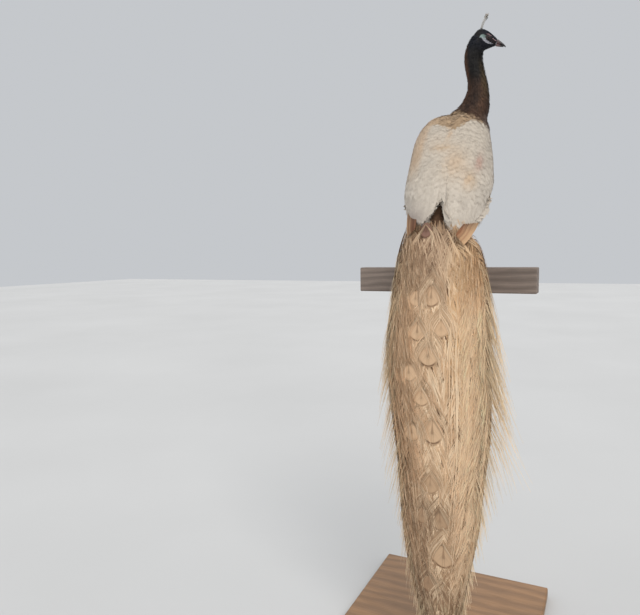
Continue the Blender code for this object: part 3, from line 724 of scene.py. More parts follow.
def train_tone(points):
    """Train colour by place: pinkish brown at the top middle, golden at the right, darker low and left,
    darker at the very top, with painted light on the right.
    """
    x = points[:, 0]
    h = heights(points)
    tone = np.tile(SAND, (len(points), 1))
    tone = toward(tone, GOLD, 0.85 * rise(x, 0.05, 0.09) * rise(h, -0.45, -0.10))
    tone = toward(tone, APRICOT, 0.45 * rise(x, 0.10, 0.13) * rise(h, -0.12, 0.02))
    tone = toward(tone, PINK_BROWN, 0.60 * near(points, (0.015, -0.2, 0.05), (0.060, 0.2, 0.08)))
    tone = toward(tone, DARK_BROWN_AND_GAP_SHADE, 0.72 * near(points, (0.020, -0.2, -0.61), (0.060, 0.2, 0.07)))
    tone = toward(tone, PINK_BROWN, 0.45 * (1.0 - rise(h, -0.90, -0.50)) * (1.0 - rise(x, 0.0, 0.06)))
    tone = toward(tone, DARK_BROWN_AND_GAP_SHADE, 0.74 * (1.0 - rise(h, -0.93, -0.60)))
    # The pale at the right edge and the lift of the right side are painted light, making up for the shade the
    # right side gets. The top is made darker.
    tone = toward(tone, PALE_STRAND_AND_HIGHLIGHT, 0.62 * rise(x, 0.090, 0.120) * (1.0 - rise(h, -0.10, 0.0)))
    shade = (1.0 + 0.14 * rise(x, 0.05, 0.10)) * (1.0 - 0.20 * rise(h, -0.08, 0.03))
    return tone * shade[:, None]


def skin_tone(points, normals, owner):
    """The coat's own markings, painted darker as shade, since the skin lies under the feathers."""
    tone = body_tone(points, normals) * 0.62
    head = owner == "head"
    tone[head] = head_tone(points[head])
    train = np.isin(owner, TRAIN)
    tone[train] = train_tone(points[train]) * 0.42
    tone[np.isin(owner, LIMBS)] = LEG_HORN
    return tone


def store_tone(mesh, tone):
    layer = mesh.attributes.new("tone", "FLOAT_COLOR", "POINT")
    full = np.ones((len(tone), 4), np.float32)
    full[:, :3] = tone
    layer.data.foreach_set("color", full.ravel())


# ---------------------------------------------------------------- the lie of the feathers

# Places on the head, ahead of, above and beside its middle, and how far forward and up feathers point there.
HEAD_GUIDES = (
    (0.020, 0.004, 0.0, -1.0, 0.25), (0.000, 0.012, 0.0, -1.0, 0.05), (-0.022, 0.012, 0.0, -1.0, -0.35),
    (-0.040, 0.000, 0.0, -0.5, -1.0), (0.000, 0.000, 0.016, -1.0, -0.05),
    (0.000, 0.000, -0.016, -1.0, -0.05), (0.012, -0.016, 0.0, -1.0, -0.35),
    (-0.010, -0.022, 0.0, -0.6, -0.9),
)
# Places on the body and train as x, y and height above the rail, and the way feathers point there.
BODY_GUIDES = (
    (0.060, 0.130, 0.600, -0.05, -0.05, -1.0), (0.053, 0.120, 0.550, 0.0, 0.0, -1.0),
    (0.058, 0.130, 0.500, -0.05, 0.0, -1.0), (0.040, 0.120, 0.460, -0.10, 0.0, -1.0),
    (0.020, 0.040, 0.405, 0.0, -0.4, -1.0), (-0.060, 0.000, 0.360, 0.05, -0.3, -1.0),
    (0.100, 0.000, 0.360, -0.05, -0.3, -1.0), (-0.050, -0.080, 0.280, 0.05, -0.3, -1.0),
    (0.070, -0.080, 0.280, 0.00, -0.3, -1.0), (-0.045, -0.150, 0.170, 0.18, -0.2, -1.0),
    (-0.010, -0.160, 0.170, 0.02, -0.2, -1.0), (0.050, -0.160, 0.170, 0.05, -0.2, -1.0),
    (0.100, -0.130, 0.160, -0.55, -0.2, -1.0), (-0.110, 0.000, 0.240, 0.06, -0.2, -1.0),
    (0.128, 0.000, 0.240, -0.10, -0.2, -1.0), (0.040, 0.190, 0.420, 0.0, 0.2, -1.0),
    (0.000, 0.205, 0.300, 0.0, -0.05, -1.0), (0.000, 0.160, 0.190, 0.0, -0.6, -0.9),
    (0.010, 0.000, 0.120, 0.0, -1.0, -0.35), (0.010, -0.110, 0.110, 0.0, -0.8, -0.8),
    (-0.065, 0.010, 0.180, 0.02, -0.15, -1.0), (0.080, 0.010, 0.180, -0.02, -0.15, -1.0),
    (0.020, -0.230, 0.000, 0.0, -0.1, -1.0), (0.040, -0.230, -0.400, 0.0, 0.0, -1.0),
    (0.040, -0.200, -0.800, 0.0, 0.0, -1.0),
)
GUIDE_PLACES = np.array(
    [EYE_MIDDLE + HEAD_FORWARD * row[0] + HEAD_UP * row[1] + HEAD_SIDE * row[2] for row in HEAD_GUIDES]
    + [np.array(row[:3]) + ABOVE_RAIL for row in BODY_GUIDES])
GUIDE_WAYS = unit(np.array(
    [HEAD_FORWARD * row[3] + HEAD_UP * row[4] for row in HEAD_GUIDES] + [row[3:] for row in BODY_GUIDES]))


def lie(points, normals):
    """Unit direction along the surface in which a feather rooted at each point lies."""
    way = np.zeros_like(points)
    for place, direction in zip(GUIDE_PLACES, GUIDE_WAYS):
        weight = 1.0 / (((points - place) ** 2).sum(1) + 0.0003) ** 2
        way += direction * weight[:, None]
    return along_surface(way, normals)


# ---------------------------------------------------------------- roots on the skin

class Skin:
    """The finished skin as arrays: triangles, their owners, the bake map and a search tree."""

    def __init__(self, piece, owner):
        mesh = piece.data
        mesh.calc_loop_triangles()
        loops = read_rows(mesh.loop_triangles, "loops", 3, int)
        self.points = points_of(mesh)
        self.normals = normals_of(mesh)
        self.corners = read_rows(mesh.loop_triangles, "vertices", 3, int)
        self.uv = read_rows(mesh.uv_layers["OFBake"].data, "uv", 2)[loops]
        self.owner = owner[self.corners[:, 0]]
        self.tree = BVHTree.FromPolygons(self.points.tolist(), self.corners.tolist())
        first, second, third = self.points[self.corners.T]
        self.area = np.linalg.norm(np.cross(second - first, third - first), axis=1) * 0.5
        self.middle = self.points[self.corners].mean(1)

    def snap(self, points):
        """The nearest places on the skin, with their normals and triangles."""
        found = [self.tree.find_nearest(Vector(p)) for p in points]
        index = np.array([f[2] for f in found])
        return np.array([f[0] for f in found]), self.normals[self.corners[index]].mean(1), index

    def bake_place(self, index):
        return self.uv[index].mean(1)

    def bake_places_near(self, points):
        """Bake places for many points, looked up on a coarse grid so that near points share one."""
        cells, inverse = np.unique(np.round(points / 0.004).astype(int), axis=0, return_inverse=True)
        found = np.array([self.tree.find_nearest(Vector(c * 0.004))[2] for c in cells])
        return self.bake_place(found[inverse.ravel()])


def scattered(skin, keep, gap, seed):
    """Roots on the kept triangles, no two nearer than the gap, which may vary by triangle."""
    rng = np.random.default_rng(seed)
    kept = np.nonzero(keep)[0]
    gap = np.broadcast_to(gap, skin.area.shape)
    weight = skin.area[kept] / gap[kept] ** 2
    count = int(weight.sum() * 2.6)
    pick = kept[rng.choice(len(kept), count, p=weight / weight.sum())]
    mix = rng.dirichlet((1.0, 1.0, 1.0), count)[..., None]
    points = (skin.points[skin.corners[pick]] * mix).sum(1)
    normals = unit((skin.normals[skin.corners[pick]] * mix).sum(1))
    places = (skin.uv[pick] * mix).sum(1)
    reach = gap[pick]
    cells = np.floor(points / reach.max()).astype(int)
    around = [(a, b, c) for a in (-1, 0, 1) for b in (-1, 0, 1) for c in (-1, 0, 1)]
    grid = {}
    taken = []
    for index, (a, b, c) in enumerate(cells):
        limit = reach[index] ** 2
        nearby = (points[index] - points[other]
                  for da, db, dc in around for other in grid.get((a + da, b + db, c + dc), ()))
        if all(away @ away >= limit for away in nearby):
            grid.setdefault((a, b, c), []).append(index)
            taken.append(index)
    return points[taken], normals[taken], places[taken]


def laid_paths(skin, starts, normals, lengths, stations, sway):
    """Each feather's line along the skin from its root: points, normals and directions."""
    step = (lengths / (stations - 1))[:, None]
    points = [starts]
    outward = [normals]
    ways = []
    for _ in range(stations - 1):
        way = lie(points[-1], outward[-1])
        way = unit(way + np.cross(outward[-1], way) * sway[:, None])
        ahead = points[-1] + way * step
        placed, normal, _ = skin.snap(ahead)
        flat = (normal * outward[-1]).sum(1) > 0.55
        close = np.linalg.norm(placed - ahead, axis=1) < step[:, 0] * 0.7 + 0.002
        keep = (flat & close)[:, None]
        points.append(np.where(keep, placed, ahead))
        outward.append(np.where(keep, unit(normal + outward[-1]), outward[-1]))
        ways.append(way)
    ways.append(ways[-1])
    return np.stack(points, 1), np.stack(outward, 1), np.stack(ways, 1)


# ---------------------------------------------------------------- making feathers

def vane_map_of(rows, columns):
    across, along = np.meshgrid(np.linspace(0.0, 1.0, columns), np.linspace(0.0, 1.0, rows))
    return np.stack((across, along), -1)


def add_feathers(name, points, tone, roots, finish, replaced=(), marked=None, patch=ROOT_PATCH):
    """Feathers as joined grids of points (feather, along, across), in as many pieces as the limit asks."""
    count, rows, columns = points.shape[:3]
    each = max(1, PIECE_LIMIT // ((rows - 1) * (columns - 1) * 2))
    starts = range(0, count, each)
    tone = np.clip(np.broadcast_to(tone, points.shape), 0.0, 1.0)
    vane = vane_map_of(rows, columns)
    bake = roots[:, None, None, :] + (vane - 0.5) * patch
    cell = np.arange(rows * columns).reshape(rows, columns)
    quad = np.stack((cell[:-1, :-1], cell[:-1, 1:], cell[1:, 1:], cell[1:, :-1]), -1).reshape(-1, 4)
    for number, start in enumerate(starts, 1):
        label = name if len(starts) == 1 else f"{name}_{number}"
        part = slice(start, start + each)
        amount = len(points[part])
        faces = (np.arange(amount)[:, None, None] * rows * columns + quad).reshape(-1)
        mesh = bpy.data.meshes.new(label)
        mesh.vertices.add(amount * rows * columns)
        mesh.vertices.foreach_set("co", points[part].astype(np.float32).ravel())
        mesh.loops.add(len(faces))
        mesh.loops.foreach_set("vertex_index", faces.astype(np.int32))
        mesh.polygons.add(len(faces) // 4)
        mesh.polygons.foreach_set("loop_start", np.arange(0, len(faces), 4, dtype=np.int32))
        mesh.update(calc_edges=True)
        store_tone(mesh, tone[part].reshape(-1, 3))
        if marked is not None:
            layer = mesh.attributes.new("marked", "FLOAT", "POINT")
            layer.data.foreach_set("value", np.repeat(marked[part], rows * columns).astype(np.float32))
        for map_name, places in (("vane", np.broadcast_to(vane, bake[part].shape)), ("OFBake", bake[part])):
            layer = mesh.uv_layers.new(name=map_name)
            layer.data.foreach_set("uv", places.reshape(-1, 2)[faces].astype(np.float32).ravel())
        mesh.uv_layers["OFBake"].active_render = True
        finish_piece(link_new(label, mesh), finish, *(replaced if number == 1 else ()))


def vanes(paths, outward, ways, widths, outline, lift, camber, tip_round=0.35, columns=5):
    """Vane surfaces over the laid lines. Outline gives the share of the width at each station."""
    across = np.linspace(-1.0, 1.0, columns)
    along = np.linspace(0.0, 1.0, paths.shape[1])
    beside = unit(np.cross(outward, ways))
    half = 0.5 * widths[:, None] * np.asarray(outline)
    raised = 0.0003 + lift[:, None] * along ** 1.1
    bend = camber * half[..., None] * across ** 2
    back = tip_round * 0.5 * widths[:, None, None] * across ** 2 * (along[:, None] ** 4)
    points = paths[:, :, None, :] + beside[:, :, None, :] * (half[..., None] * across)[..., None]
    points = points + outward[:, :, None, :] * (raised[..., None] - bend)[..., None]
    return points - ways[:, :, None, :] * back[..., None]


def ribbons(line, aside):
    """Flat strips two points wide along lines."""
    return np.stack((line - aside, line + aside), 2)


def add_fringe(name, points, ways, outward, tone, roots, length, strands, finish, rng):
    """Loose barbs along the free edge of each vane: thin slips from its last stations outward."""
    thickness = 0.0009
    count, rows, columns = points.shape[:3]
    shape = (count, strands)
    pick_across = rng.integers(0, columns, shape)
    on_side = (pick_across == 0) | (pick_across == columns - 1)
    pick_along = np.where(on_side, rng.integers(rows // 2, rows, shape), rows - 1)
    number = np.arange(count)[:, None]
    base = points[number, pick_along, pick_across]
    way = ways[number, pick_along]
    out = outward[number, pick_along]
    aside = (pick_across / (columns - 1) - 0.5) * 1.3 + rng.normal(0.0, 0.18, shape)
    side = np.cross(out, way)
    direction = unit(way + side * aside[..., None] + out * rng.normal(0.0, 0.06, shape)[..., None])
    reach = length[:, None] * rng.uniform(0.5, 1.2, shape)
    start = base - direction * reach[..., None] * 0.5
    end = base + direction * reach[..., None] * 0.5
    half = np.cross(out, direction) * thickness * 0.5
    slips = np.stack((start - half, start + half, end - half * 0.3, end + half * 0.3), 2).reshape(-1, 2, 2, 3)
    colour = tone[number, pick_along, 0].reshape(-1, 1, 1, 3) * rng.uniform(0.92, 1.05, (len(slips), 1, 1, 1))
    add_feathers(name + "_fringe", slips, colour, np.repeat(roots, strands, axis=0), finish)


def feather_tones(base, rows, rng, root_shade=0.80, tip_shade=1.04, spread=0.07, fleck=None):
    """Each feather's tone: darker at the root, a little lighter at the tip, uneven between feathers."""
    along = np.linspace(0.0, 1.0, rows)[:, None, None]
    shade = root_shade + (tip_shade - root_shade) * rise(along, 0.0, 0.6)
    own = np.clip(rng.normal(1.0, spread, (len(base), 1, 1, 1)), 0.75, 1.2)
    tone = base[:, None, None, :] * shade * own
    if fleck is None:
        return tone
    fleck = fleck[:, None, None, None]
    mark = fleck * (rise(along, 0.55, 0.78) - rise(along, 0.80, 0.95))
    return tone + (np.where(fleck > 0.7, NECK_BROWN, FLECK) - tone) * mark


# ---------------------------------------------------------------- the coat of the body

# How much of its width a round-ended vane has at each station, by the number of stations.
ROUND_VANE = {
    3: (0.55, 1.0, 0.45), 4: (0.50, 1.0, 0.95, 0.40), 5: (0.40, 0.90, 1.0, 0.90, 0.40),
    6: (0.35, 0.80, 1.0, 1.0, 0.85, 0.40), 7: (0.30, 0.70, 0.95, 1.0, 0.98, 0.82, 0.38),
}
# The folded wings' lower edge, as sideways places and heights: left wing, notch between them, right wing.
WING_EDGE = (
    (-0.084, -0.072, -0.058, -0.047, -0.034, -0.020, -0.006, 0.004, 0.0095, 0.0150, 0.0180,
     0.0200, 0.0220, 0.026, 0.034, 0.041, 0.0525, 0.064, 0.0735, 0.083, 0.092, 0.101, 0.109, 0.118, 0.130),
    (0.144, 0.135, 0.128, 0.122, 0.1185, 0.1150, 0.1155, 0.124, 0.136, 0.152, 0.158,
     0.138, 0.126, 0.119, 0.115, 0.111, 0.105, 0.093, 0.0840, 0.084, 0.088, 0.093, 0.099, 0.107, 0.118),
)
WING_LEVELS = (0.12, 0.20, 0.30, 0.42)
NECK_COAT_LEVELS = (0.44, 0.50, 0.62)


def wing_edge(x):
    return np.interp(x, *WING_EDGE)


def room_on_wing(points):
    """How long a feather may be without passing the wing's lower edge."""
    return np.maximum(heights(points) - wing_edge(points[:, 0]) - 0.004, 0.012)


def by_height(levels, values):
    """A measure that changes with height, from its values at some levels."""
    return lambda h: np.interp(h, levels, values)


def everywhere(value):
    return lambda h: value


def lay_coat(name, skin, keep, gap, length, broad, rows, columns, lift, seed, finish,
             tone_of=body_tone, strands=0, marked=0.0, room=None, **shading):
    """Feathers rooted all over the kept part of the skin. Gap and length are measures that may change
    with height. Broad is the width as a share of the length."""
    rng = np.random.default_rng(seed)
    starts, normals, places = scattered(skin, keep, gap(heights(skin.middle)), seed)
    total = len(starts)
    own_length = length(heights(starts))
    lengths = own_length * rng.uniform(0.85, 1.15, total)
    widths = own_length * broad * rng.uniform(0.88, 1.12, total)
    if room is not None:
        lengths = np.minimum(lengths, room(starts))
    paths, outward, ways = laid_paths(skin, starts, normals, lengths, rows, rng.normal(0.0, 0.10, total))
    raised = lift * rng.uniform(0.5, 1.15, total)
    points = vanes(paths, outward, ways, widths, ROUND_VANE[rows], raised, 0.06, columns=columns)
    seen = rows * 2 // 3
    base = tone_of(paths[:, seen], outward[:, seen])
    tan = np.exp(-(((base - TAN) / 0.07) ** 2).sum(1))
    fleck = (rng.random(total) < marked + 0.30 * tan) * rng.uniform(0.25, 0.7 + 0.3 * tan)
    tone = feather_tones(base, rows, rng, fleck=fleck, **shading)
    add_feathers(name, points, tone, places, finish)
    if strands:
        add_fringe(name, points, ways, outward, tone, places, lengths * 0.28, strands, finish, rng)


def build_body_coat(skin):
    owner = skin.owner
    h = heights(skin.middle)
    clear_of_eyes = np.ones(len(owner), bool)
    for node in ("eye_left", "eye_right"):
        clear_of_eyes &= np.linalg.norm(skin.middle - box_middle(node), axis=1) > 0.0078
    head = (owner == "head") & (bare_face(skin.middle) < 0.5) & clear_of_eyes
    facing_back = rise(-skin.normals[skin.corners].mean(1)[:, 1], 0.1, 0.5)
    wings = np.isin(owner, ("wing_left", "wing_right"))
    wings &= h > wing_edge(skin.middle[:, 0]) + 0.020 + 0.012 * facing_back
    trunk = (owner == "trunk") & (h > 0.10)
    thighs = np.isin(owner, ("thigh_left", "thigh_right"))
    neck_gap = by_height(NECK_COAT_LEVELS, (0.0040, 0.0030, 0.0022))
    neck_length = by_height(NECK_COAT_LEVELS, (0.018, 0.014, 0.009))
    wing_gap = by_height(WING_LEVELS, (0.0085, 0.0070, 0.0058, 0.0046))
    wing_length = by_height(WING_LEVELS, (0.046, 0.036, 0.026, 0.018))
    lay_coat("head_feathers", skin, head, everywhere(0.0017), everywhere(0.0046), 0.0021 / 0.0046, 3, 3,
             0.0009, 11, DARK_COAT, tone_of=head_tone, spread=0.12)
    lay_coat("neck_feathers", skin, owner == "neck", neck_gap, neck_length, 0.40, 4, 3,
             0.0034, 12, DARK_COAT, strands=3, spread=0.16)
    lay_coat("wing_feathers", skin, wings, wing_gap, wing_length, 0.60, 6, 5, 0.0013, 13, CREAM_COAT,
             strands=18, room=room_on_wing, spread=0.022, root_shade=0.92, tip_shade=1.01)
    lay_coat("trunk_feathers", skin, trunk, everywhere(0.0055), everywhere(0.024), 0.0125 / 0.024, 5, 4,
             0.0028, 14, CREAM_COAT, tone_of=rump_tone, strands=10, marked=0.05, spread=0.05)
    lay_coat("thigh_feathers", skin, thighs, everywhere(0.0052), everywhere(0.022), 0.0085 / 0.022, 4, 4,
             0.0036, 15, CREAM_COAT, strands=6)


# ---------------------------------------------------------------- flight feathers and tail

def blade_lines(roots, tips, bow, rows):
    """Straight runs from each root to its tip, bowed in the middle, and their directions."""
    t = np.linspace(0.0, 1.0, rows)[None, :, None]
    paths = roots[:, None, :] * (1.0 - t) + tips[:, None, :] * t + np.array(bow) * (t * (1.0 - t) * 4.0)
    return paths, unit(np.gradient(paths, axis=1))


def build_blades(name, node, roots, tips, bow, facing, width, rows, columns, base, seed, skin):
    """Long stiff feathers that take the place of a CAD node, darker along their shafts."""
    rng = np.random.default_rng(seed)
    count = len(roots)
    paths, ways = blade_lines(roots, tips, bow, rows)
    outward = along_surface(np.array(facing), ways)
    outline = np.interp(np.linspace(0.0, 1.0, rows), (0.0, 0.25, 0.8, 1.0), (0.55, 0.95, 1.0, 0.35))
    points = vanes(paths, outward, ways, np.full(count, width), outline, np.zeros(count), 0.10, 0.5, columns)
    across = np.abs(np.linspace(-1.0, 1.0, columns))[:, None]
    tone = feather_tones(base, rows, rng, 0.6, 1.05, 0.08) * (0.84 + 0.16 * across)
    add_feathers(name, points, tone, skin.bake_place(skin.snap(roots)[2]), CREAM_COAT, [node])


def build_primaries(side, skin, roots, tips, bow, facing, width, beige, painted_shade, seed):
    """The blades that show below a folded wing, from rust to beige. Roots and tips give the two end ones. The
    number before the seed darkens all of a side's blades, as painted shade.
    """
    t = np.linspace(0.0, 1.0, len(beige))[:, None]
    shade = np.array(beige)[:, None]
    roots, tips = (np.array(ends[0]) * (1 - t) + np.array(ends[1]) * t + ABOVE_RAIL for ends in (roots, tips))
    base = (BLADE_RUST * (1 - shade) + BLADE_BEIGE * shade) * painted_shade
    build_blades("primary_feathers_" + side, "primaries_" + side, roots, tips, bow, facing, width, 8, 4,
                 base, seed, skin)


def build_flight_feathers(skin):
    # The left blades are darkened to 0.62 of the right ones: painted shade.
    build_primaries("left", skin, ((-0.064, -0.140, 0.150), (-0.036, -0.160, 0.140)),
                    ((-0.050, -0.188, 0.084), (-0.030, -0.196, 0.100)), (0.0, -0.004, 0.0),
                    (-0.25, -1.0, 0.15), 0.0062, (0.9, 0.35, 0.8, 0.2, 0.1, 0.05, 0.1), 0.62, 32)
    build_primaries("right", skin, ((0.117, -0.136, 0.116), (0.090, -0.165, 0.112)),
                    ((0.095, -0.205, 0.060), (0.077, -0.203, 0.082)), (0.003, -0.008, 0.0),
                    (0.35, -1.0, 0.15), 0.0085, (1.0, 1.0, 0.55, 0.80, 0.45, 0.35, 0.1), 1.0, 33)
    rng = np.random.default_rng(31)
    low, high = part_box("tail")
    count = 18
    t = np.linspace(0.0, 1.0, count) - 0.5
    root_x = 0.5 * (low.x + high.x) + t * 0.06
    roots = np.stack((root_x, np.full(count, low.y + 0.055), np.full(count, high.z - 0.01)), 1)
    tips = np.stack((low.x + 0.016 + (np.sin(t * np.pi) * 0.5 + 0.5) * (high.x - low.x - 0.032),
                     low.y + 0.012 + 0.010 * (np.arange(count) % 2) + 0.012 * np.cos(t * 3.0),
                     low.z + 0.035 * np.abs(t) * 2.0 + rng.uniform(0.0, 0.008, count)), 1)
    build_blades("tail_feathers", "tail", roots, tips, (0.0, 0.010, 0.0), (0.0, 1.0, 0.1), 0.030, 10, 5,
                 np.tile(PINK_BROWN, (count, 1)), 34, skin)


def cast_grid(tree, levels, rows, start_y, way):
    """Where lines along y meet a surface, nan where they miss it. Each level has a row of sideways places."""
    grid = np.full((len(levels), len(rows[0])), np.nan)
    for row, level in enumerate(levels):
        for column, x in enumerate(rows[row]):
            hit = tree.ray_cast(Vector((x, start_y, RAIL_TOP + level)), Vector((0.0, way, 0.0)))[0]
            if hit is not None:
                grid[row, column] = hit.y
    return grid


def read_grid(grid, row, column):
    """Values of a grid at fractional rows and columns."""
    row = np.clip(row, 0, len(grid) - 1.001)
    column = np.clip(column, 0, len(grid[0]) - 1.001)
    r = row.astype(int)
    c = column.astype(int)
    down = row - r
    across = column - c
    near_side = grid[r, c] * (1 - down) + grid[r + 1, c] * down
    far_side = grid[r, c + 1] * (1 - down) + grid[r + 1, c + 1] * down
    return near_side * (1 - across) + far_side * across


class WingSheet:
    """A smooth sheet over the rear of one folded wing, carried on below the wing's end."""

    def __init__(self, node):
        low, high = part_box(node)
        self.x = np.linspace(low.x, high.x, 36)
        self.h = np.linspace(0.05, 0.26, 43)
        grid = cast_grid(node_surface([node])[0], self.h, [self.x] * len(self.h), -0.6, 1.0)
        backed = np.isfinite(grid)
        held = backed.any(1)
        self.left = np.interp(self.h, self.h[held], [self.x[row].min() for row in backed[held]])
        self.right = np.interp(self.h, self.h[held], [self.x[row].max() for row in backed[held]])
        for column in grid.T:
            known = np.nonzero(~np.isnan(column))[0]
            if len(known) > 12:
                first = known[0] + 3
                slope = np.clip((column[first + 6] - column[first]) / 6, -0.0012, 0.0008)
                column[:first] = column[first] - slope * (first - np.arange(first))
        for row in grid:
            known = ~np.isnan(row)
            row[:] = np.interp(self.x, self.x[known], row[known])
        for _ in range(3):
            grid[1:-1] = (grid[:-2] + grid[1:-1] * 2 + grid[2:]) / 4
            grid[:, 1:-1] = (grid[:, :-2] + grid[:, 1:-1] * 2 + grid[:, 2:]) / 4
        self.grid = grid

    def edges(self, h):
        return np.interp(h, self.h, self.left), np.interp(h, self.h, self.right)

    def y(self, x, h):
        return read_grid(self.grid, (h - self.h[0]) / (self.h[1] - self.h[0]),
                         (x - self.x[0]) / (self.x[1] - self.x[0]))

    def place(self, x, h, inward):
        """Points that far inside the sheet, and the sheet's outward direction there."""
        step = 0.004
        across = (self.y(x + step, h) - self.y(x - step, h)) / (2 * step)
        upward = (self.y(x, h + step) - self.y(x, h - step)) / (2 * step)
        outward = unit(np.stack((across, -np.ones_like(across), upward), -1))
        points = np.stack((x, self.y(x, h), RAIL_TOP + h), -1)
        return points - outward * inward[..., None], outward


def build_wing_end(side, skin, first_x, last_x, inner, lean_left, lean_right, seed):
    """Flat overlapping feathers whose tips draw the lower edge of a folded wing."""
    rng = np.random.default_rng(seed)
    sheet = WingSheet("wing_" + side)
    gap = 0.0052
    row_rise = 0.0085
    seam_reach = 0.012
    count = int((last_x - first_x) / gap)
    x = []
    above = []
    for row in range(9):
        x.append(first_x + (np.arange(count) + 0.5 * (row % 2) + rng.uniform(-0.2, 0.2, count)) * gap)
        above.append(np.full(count, row * row_rise) + rng.uniform(-0.001, 0.001, count) * (row > 0))
    x = np.concatenate(x)
    tip_h = wing_edge(x) + np.concatenate(above) + 0.0008
    seam_h = np.arange(0.158, 0.235, 0.007)
    x = np.concatenate((x, inner + rng.uniform(-0.002, 0.002, len(seam_h))))
    tip_h = np.concatenate((tip_h, seam_h))
    left, right = sheet.edges(tip_h)
    kept = ((x > left + 0.006) & (x < right - 0.003)) | (np.abs(x - inner) < 0.010)
    x, tip_h, left, right = (values[kept] for values in (x, tip_h, left, right))
    total = len(x)
    lean = lean_left + (lean_right - lean_left) * (x - first_x) / (last_x - first_x)
    lean = lean + rng.normal(0.0, 0.03, total)
    length = rng.uniform(0.036, 0.046, total)
    rows = 7
    columns = 5
    back = length[:, None] * (1.0 - np.linspace(0.0, 1.0, rows))
    line_h = tip_h[:, None] + back
    line_left, line_right = sheet.edges(line_h)
    line_x = np.clip(x[:, None] + lean[:, None] * back, line_left + 0.003, line_right - 0.005)
    inward = 0.0012 + 0.0050 * rise(line_h - wing_edge(line_x), 0.022, 0.080)
    paths, outward = sheet.place(line_x, line_h, inward)
    ways = unit(np.gradient(paths, axis=1))
    lift = rng.uniform(0.0007, 0.0013, total)
    room = np.maximum(2.0 * np.minimum(right - x, x - left) - 0.002, 0.004)
    room = np.where(np.abs(x - inner) < seam_reach, 1.0, room)
    width = np.minimum(rng.uniform(0.0125, 0.0160, total), room)
    points = vanes(paths, outward, ways, width, ROUND_VANE[rows], lift, 0.03, columns=columns)
    tone = feather_tones(body_tone(paths[:, -2], outward[:, -2]), rows, rng, 0.93, 1.01, 0.02)
    places = skin.bake_places_near(paths[:, 0])
    name = "wing_end_" + side
    add_feathers(name, points, tone, places, CREAM_COAT)
    add_fringe(name, points, ways, outward, tone, places, length * 0.22, 9, CREAM_COAT, rng)


# ---------------------------------------------------------------- the train

REAR = -1.0
FRONT = 1.0
FACE_NAMES = {REAR: "rear", FRONT: "front"}
# Heights between which the train's outline and faces are known, and the top and foot of its outer barbs.
TRAIN_FOOT = -0.995
TRAIN_TOP = 0.115
BARB_TOP = 0.112
BARB_FOOT = -0.998
# Shares of the train's half width: how far out its faces are read, and where stray points are eased in.
OUTER_SHARE = 0.97
SIDE_LIMIT = 0.88


class TrainForm:
    """The train's outline and its rear and front faces by height, read from its CAD nodes and the skin."""

    def __init__(self, skin):
        points = np.vstack([points_of(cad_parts[name].data) for name in TRAIN])
        self.levels = np.linspace(TRAIN_FOOT, TRAIN_TOP, 56)
        self.sides = np.linspace(-0.80, 0.80, 17)
        bands = [points[np.abs(heights(points) - level) < 0.035, 0] for level in self.levels]
        edges = np.array([[band.min() for band in bands], [band.max() for band in bands]])
        for _ in range(4):
            edges[:, 1:-1] = (edges[:, :-2] + edges[:, 1:-1] * 2 + edges[:, 2:]) / 4
        self.edges = edges
        rows = [self.x_at(self.sides, level) for level in self.levels]
        self.faces = {REAR: cast_grid(skin.tree, self.levels, rows, -0.6, -REAR),
                      FRONT: cast_grid(skin.tree, self.levels, rows, -0.09, -FRONT)}
        for face in self.faces.values():
            for column in face.T:
                known = ~np.isnan(column)
                column[:] = np.interp(self.levels, self.levels[known], column[known])

    def middle_and_half(self, h):
        left, right = (np.interp(h, self.levels, edge) for edge in self.edges)
        return 0.5 * (left + right), 0.5 * (right - left)

    def x_at(self, share, h):
        """The sideways place of a share of the train's width, -1 at its left edge and 1 at its right."""
        middle, half = self.middle_and_half(h)
        return middle + share * half

    def share_of(self, x, h):
        middle, half = self.middle_and_half(h)
        return (x - middle) / half

    def surface(self, share, h, facing):
        return read_grid(self.faces[facing], (h - self.levels[0]) / (self.levels[1] - self.levels[0]),
                         (share - self.sides[0]) / (self.sides[1] - self.sides[0]))

    def place(self, share, h, lift, facing):
        """Points that far off one face at a share of the width and a height, and the outward directions."""
        inner = np.clip(share, -OUTER_SHARE, OUTER_SHARE)
        outward = unit(np.stack((inner * 0.9, facing * np.sqrt(1.0 - inner ** 2), np.zeros_like(inner)), -1))
        points = np.stack((self.x_at(share, h), self.surface(inner, h, facing), RAIL_TOP + h), -1)
        raised = outward * np.asarray(lift)[..., None] * (np.abs(outward[..., 1:2]) * 0.7 + 0.3)
        return points + raised, outward


def hold_in(form, points):
    """Draws points that stand out past the train's sides back to its outline."""
    h = np.clip(heights(points), TRAIN_FOOT, TRAIN_TOP)
    share = form.share_of(points[..., 0], h)
    past = np.maximum(np.abs(share) - SIDE_LIMIT, 0.0)
    eased = SIDE_LIMIT + (1.0 - SIDE_LIMIT) * np.tanh(past / (1.0 - SIDE_LIMIT))
    points[..., 0] = form.x_at(np.where(past > 0.0, np.sign(share) * eased, share), h)
    return points


def under_eyespots(x, h):
    """1 where a strand passes under an eyespot's disc, 0 away from it."""
    covered = np.zeros(x.shape)
    for place_x, place_h, half, _ in EYESPOTS + [ROOT_EYESPOT]:
        away = np.hypot((x - place_x) / half, (h - place_h + half * 0.12) / (half * 1.15))
        covered = np.maximum(covered, 1.0 - rise(away, 0.90, 1.10))
    return covered


def press_down(form, points):
    """Keeps the under barbs of the rear close enough to the skin to lie under the eyespots' discs."""
    h = np.clip(heights(points), TRAIN_FOOT, TRAIN_TOP)
    share = np.clip(form.share_of(points[..., 0], h), -OUTER_SHARE, OUTER_SHARE)
    loose = 0.0150
    tight = 0.0040 + 0.0026 * (h + 1.0)
    proud = loose + (tight - loose) * under_eyespots(points[..., 0], h)
    points[..., 1] = np.maximum(points[..., 1], form.surface(share, h, REAR) - proud)


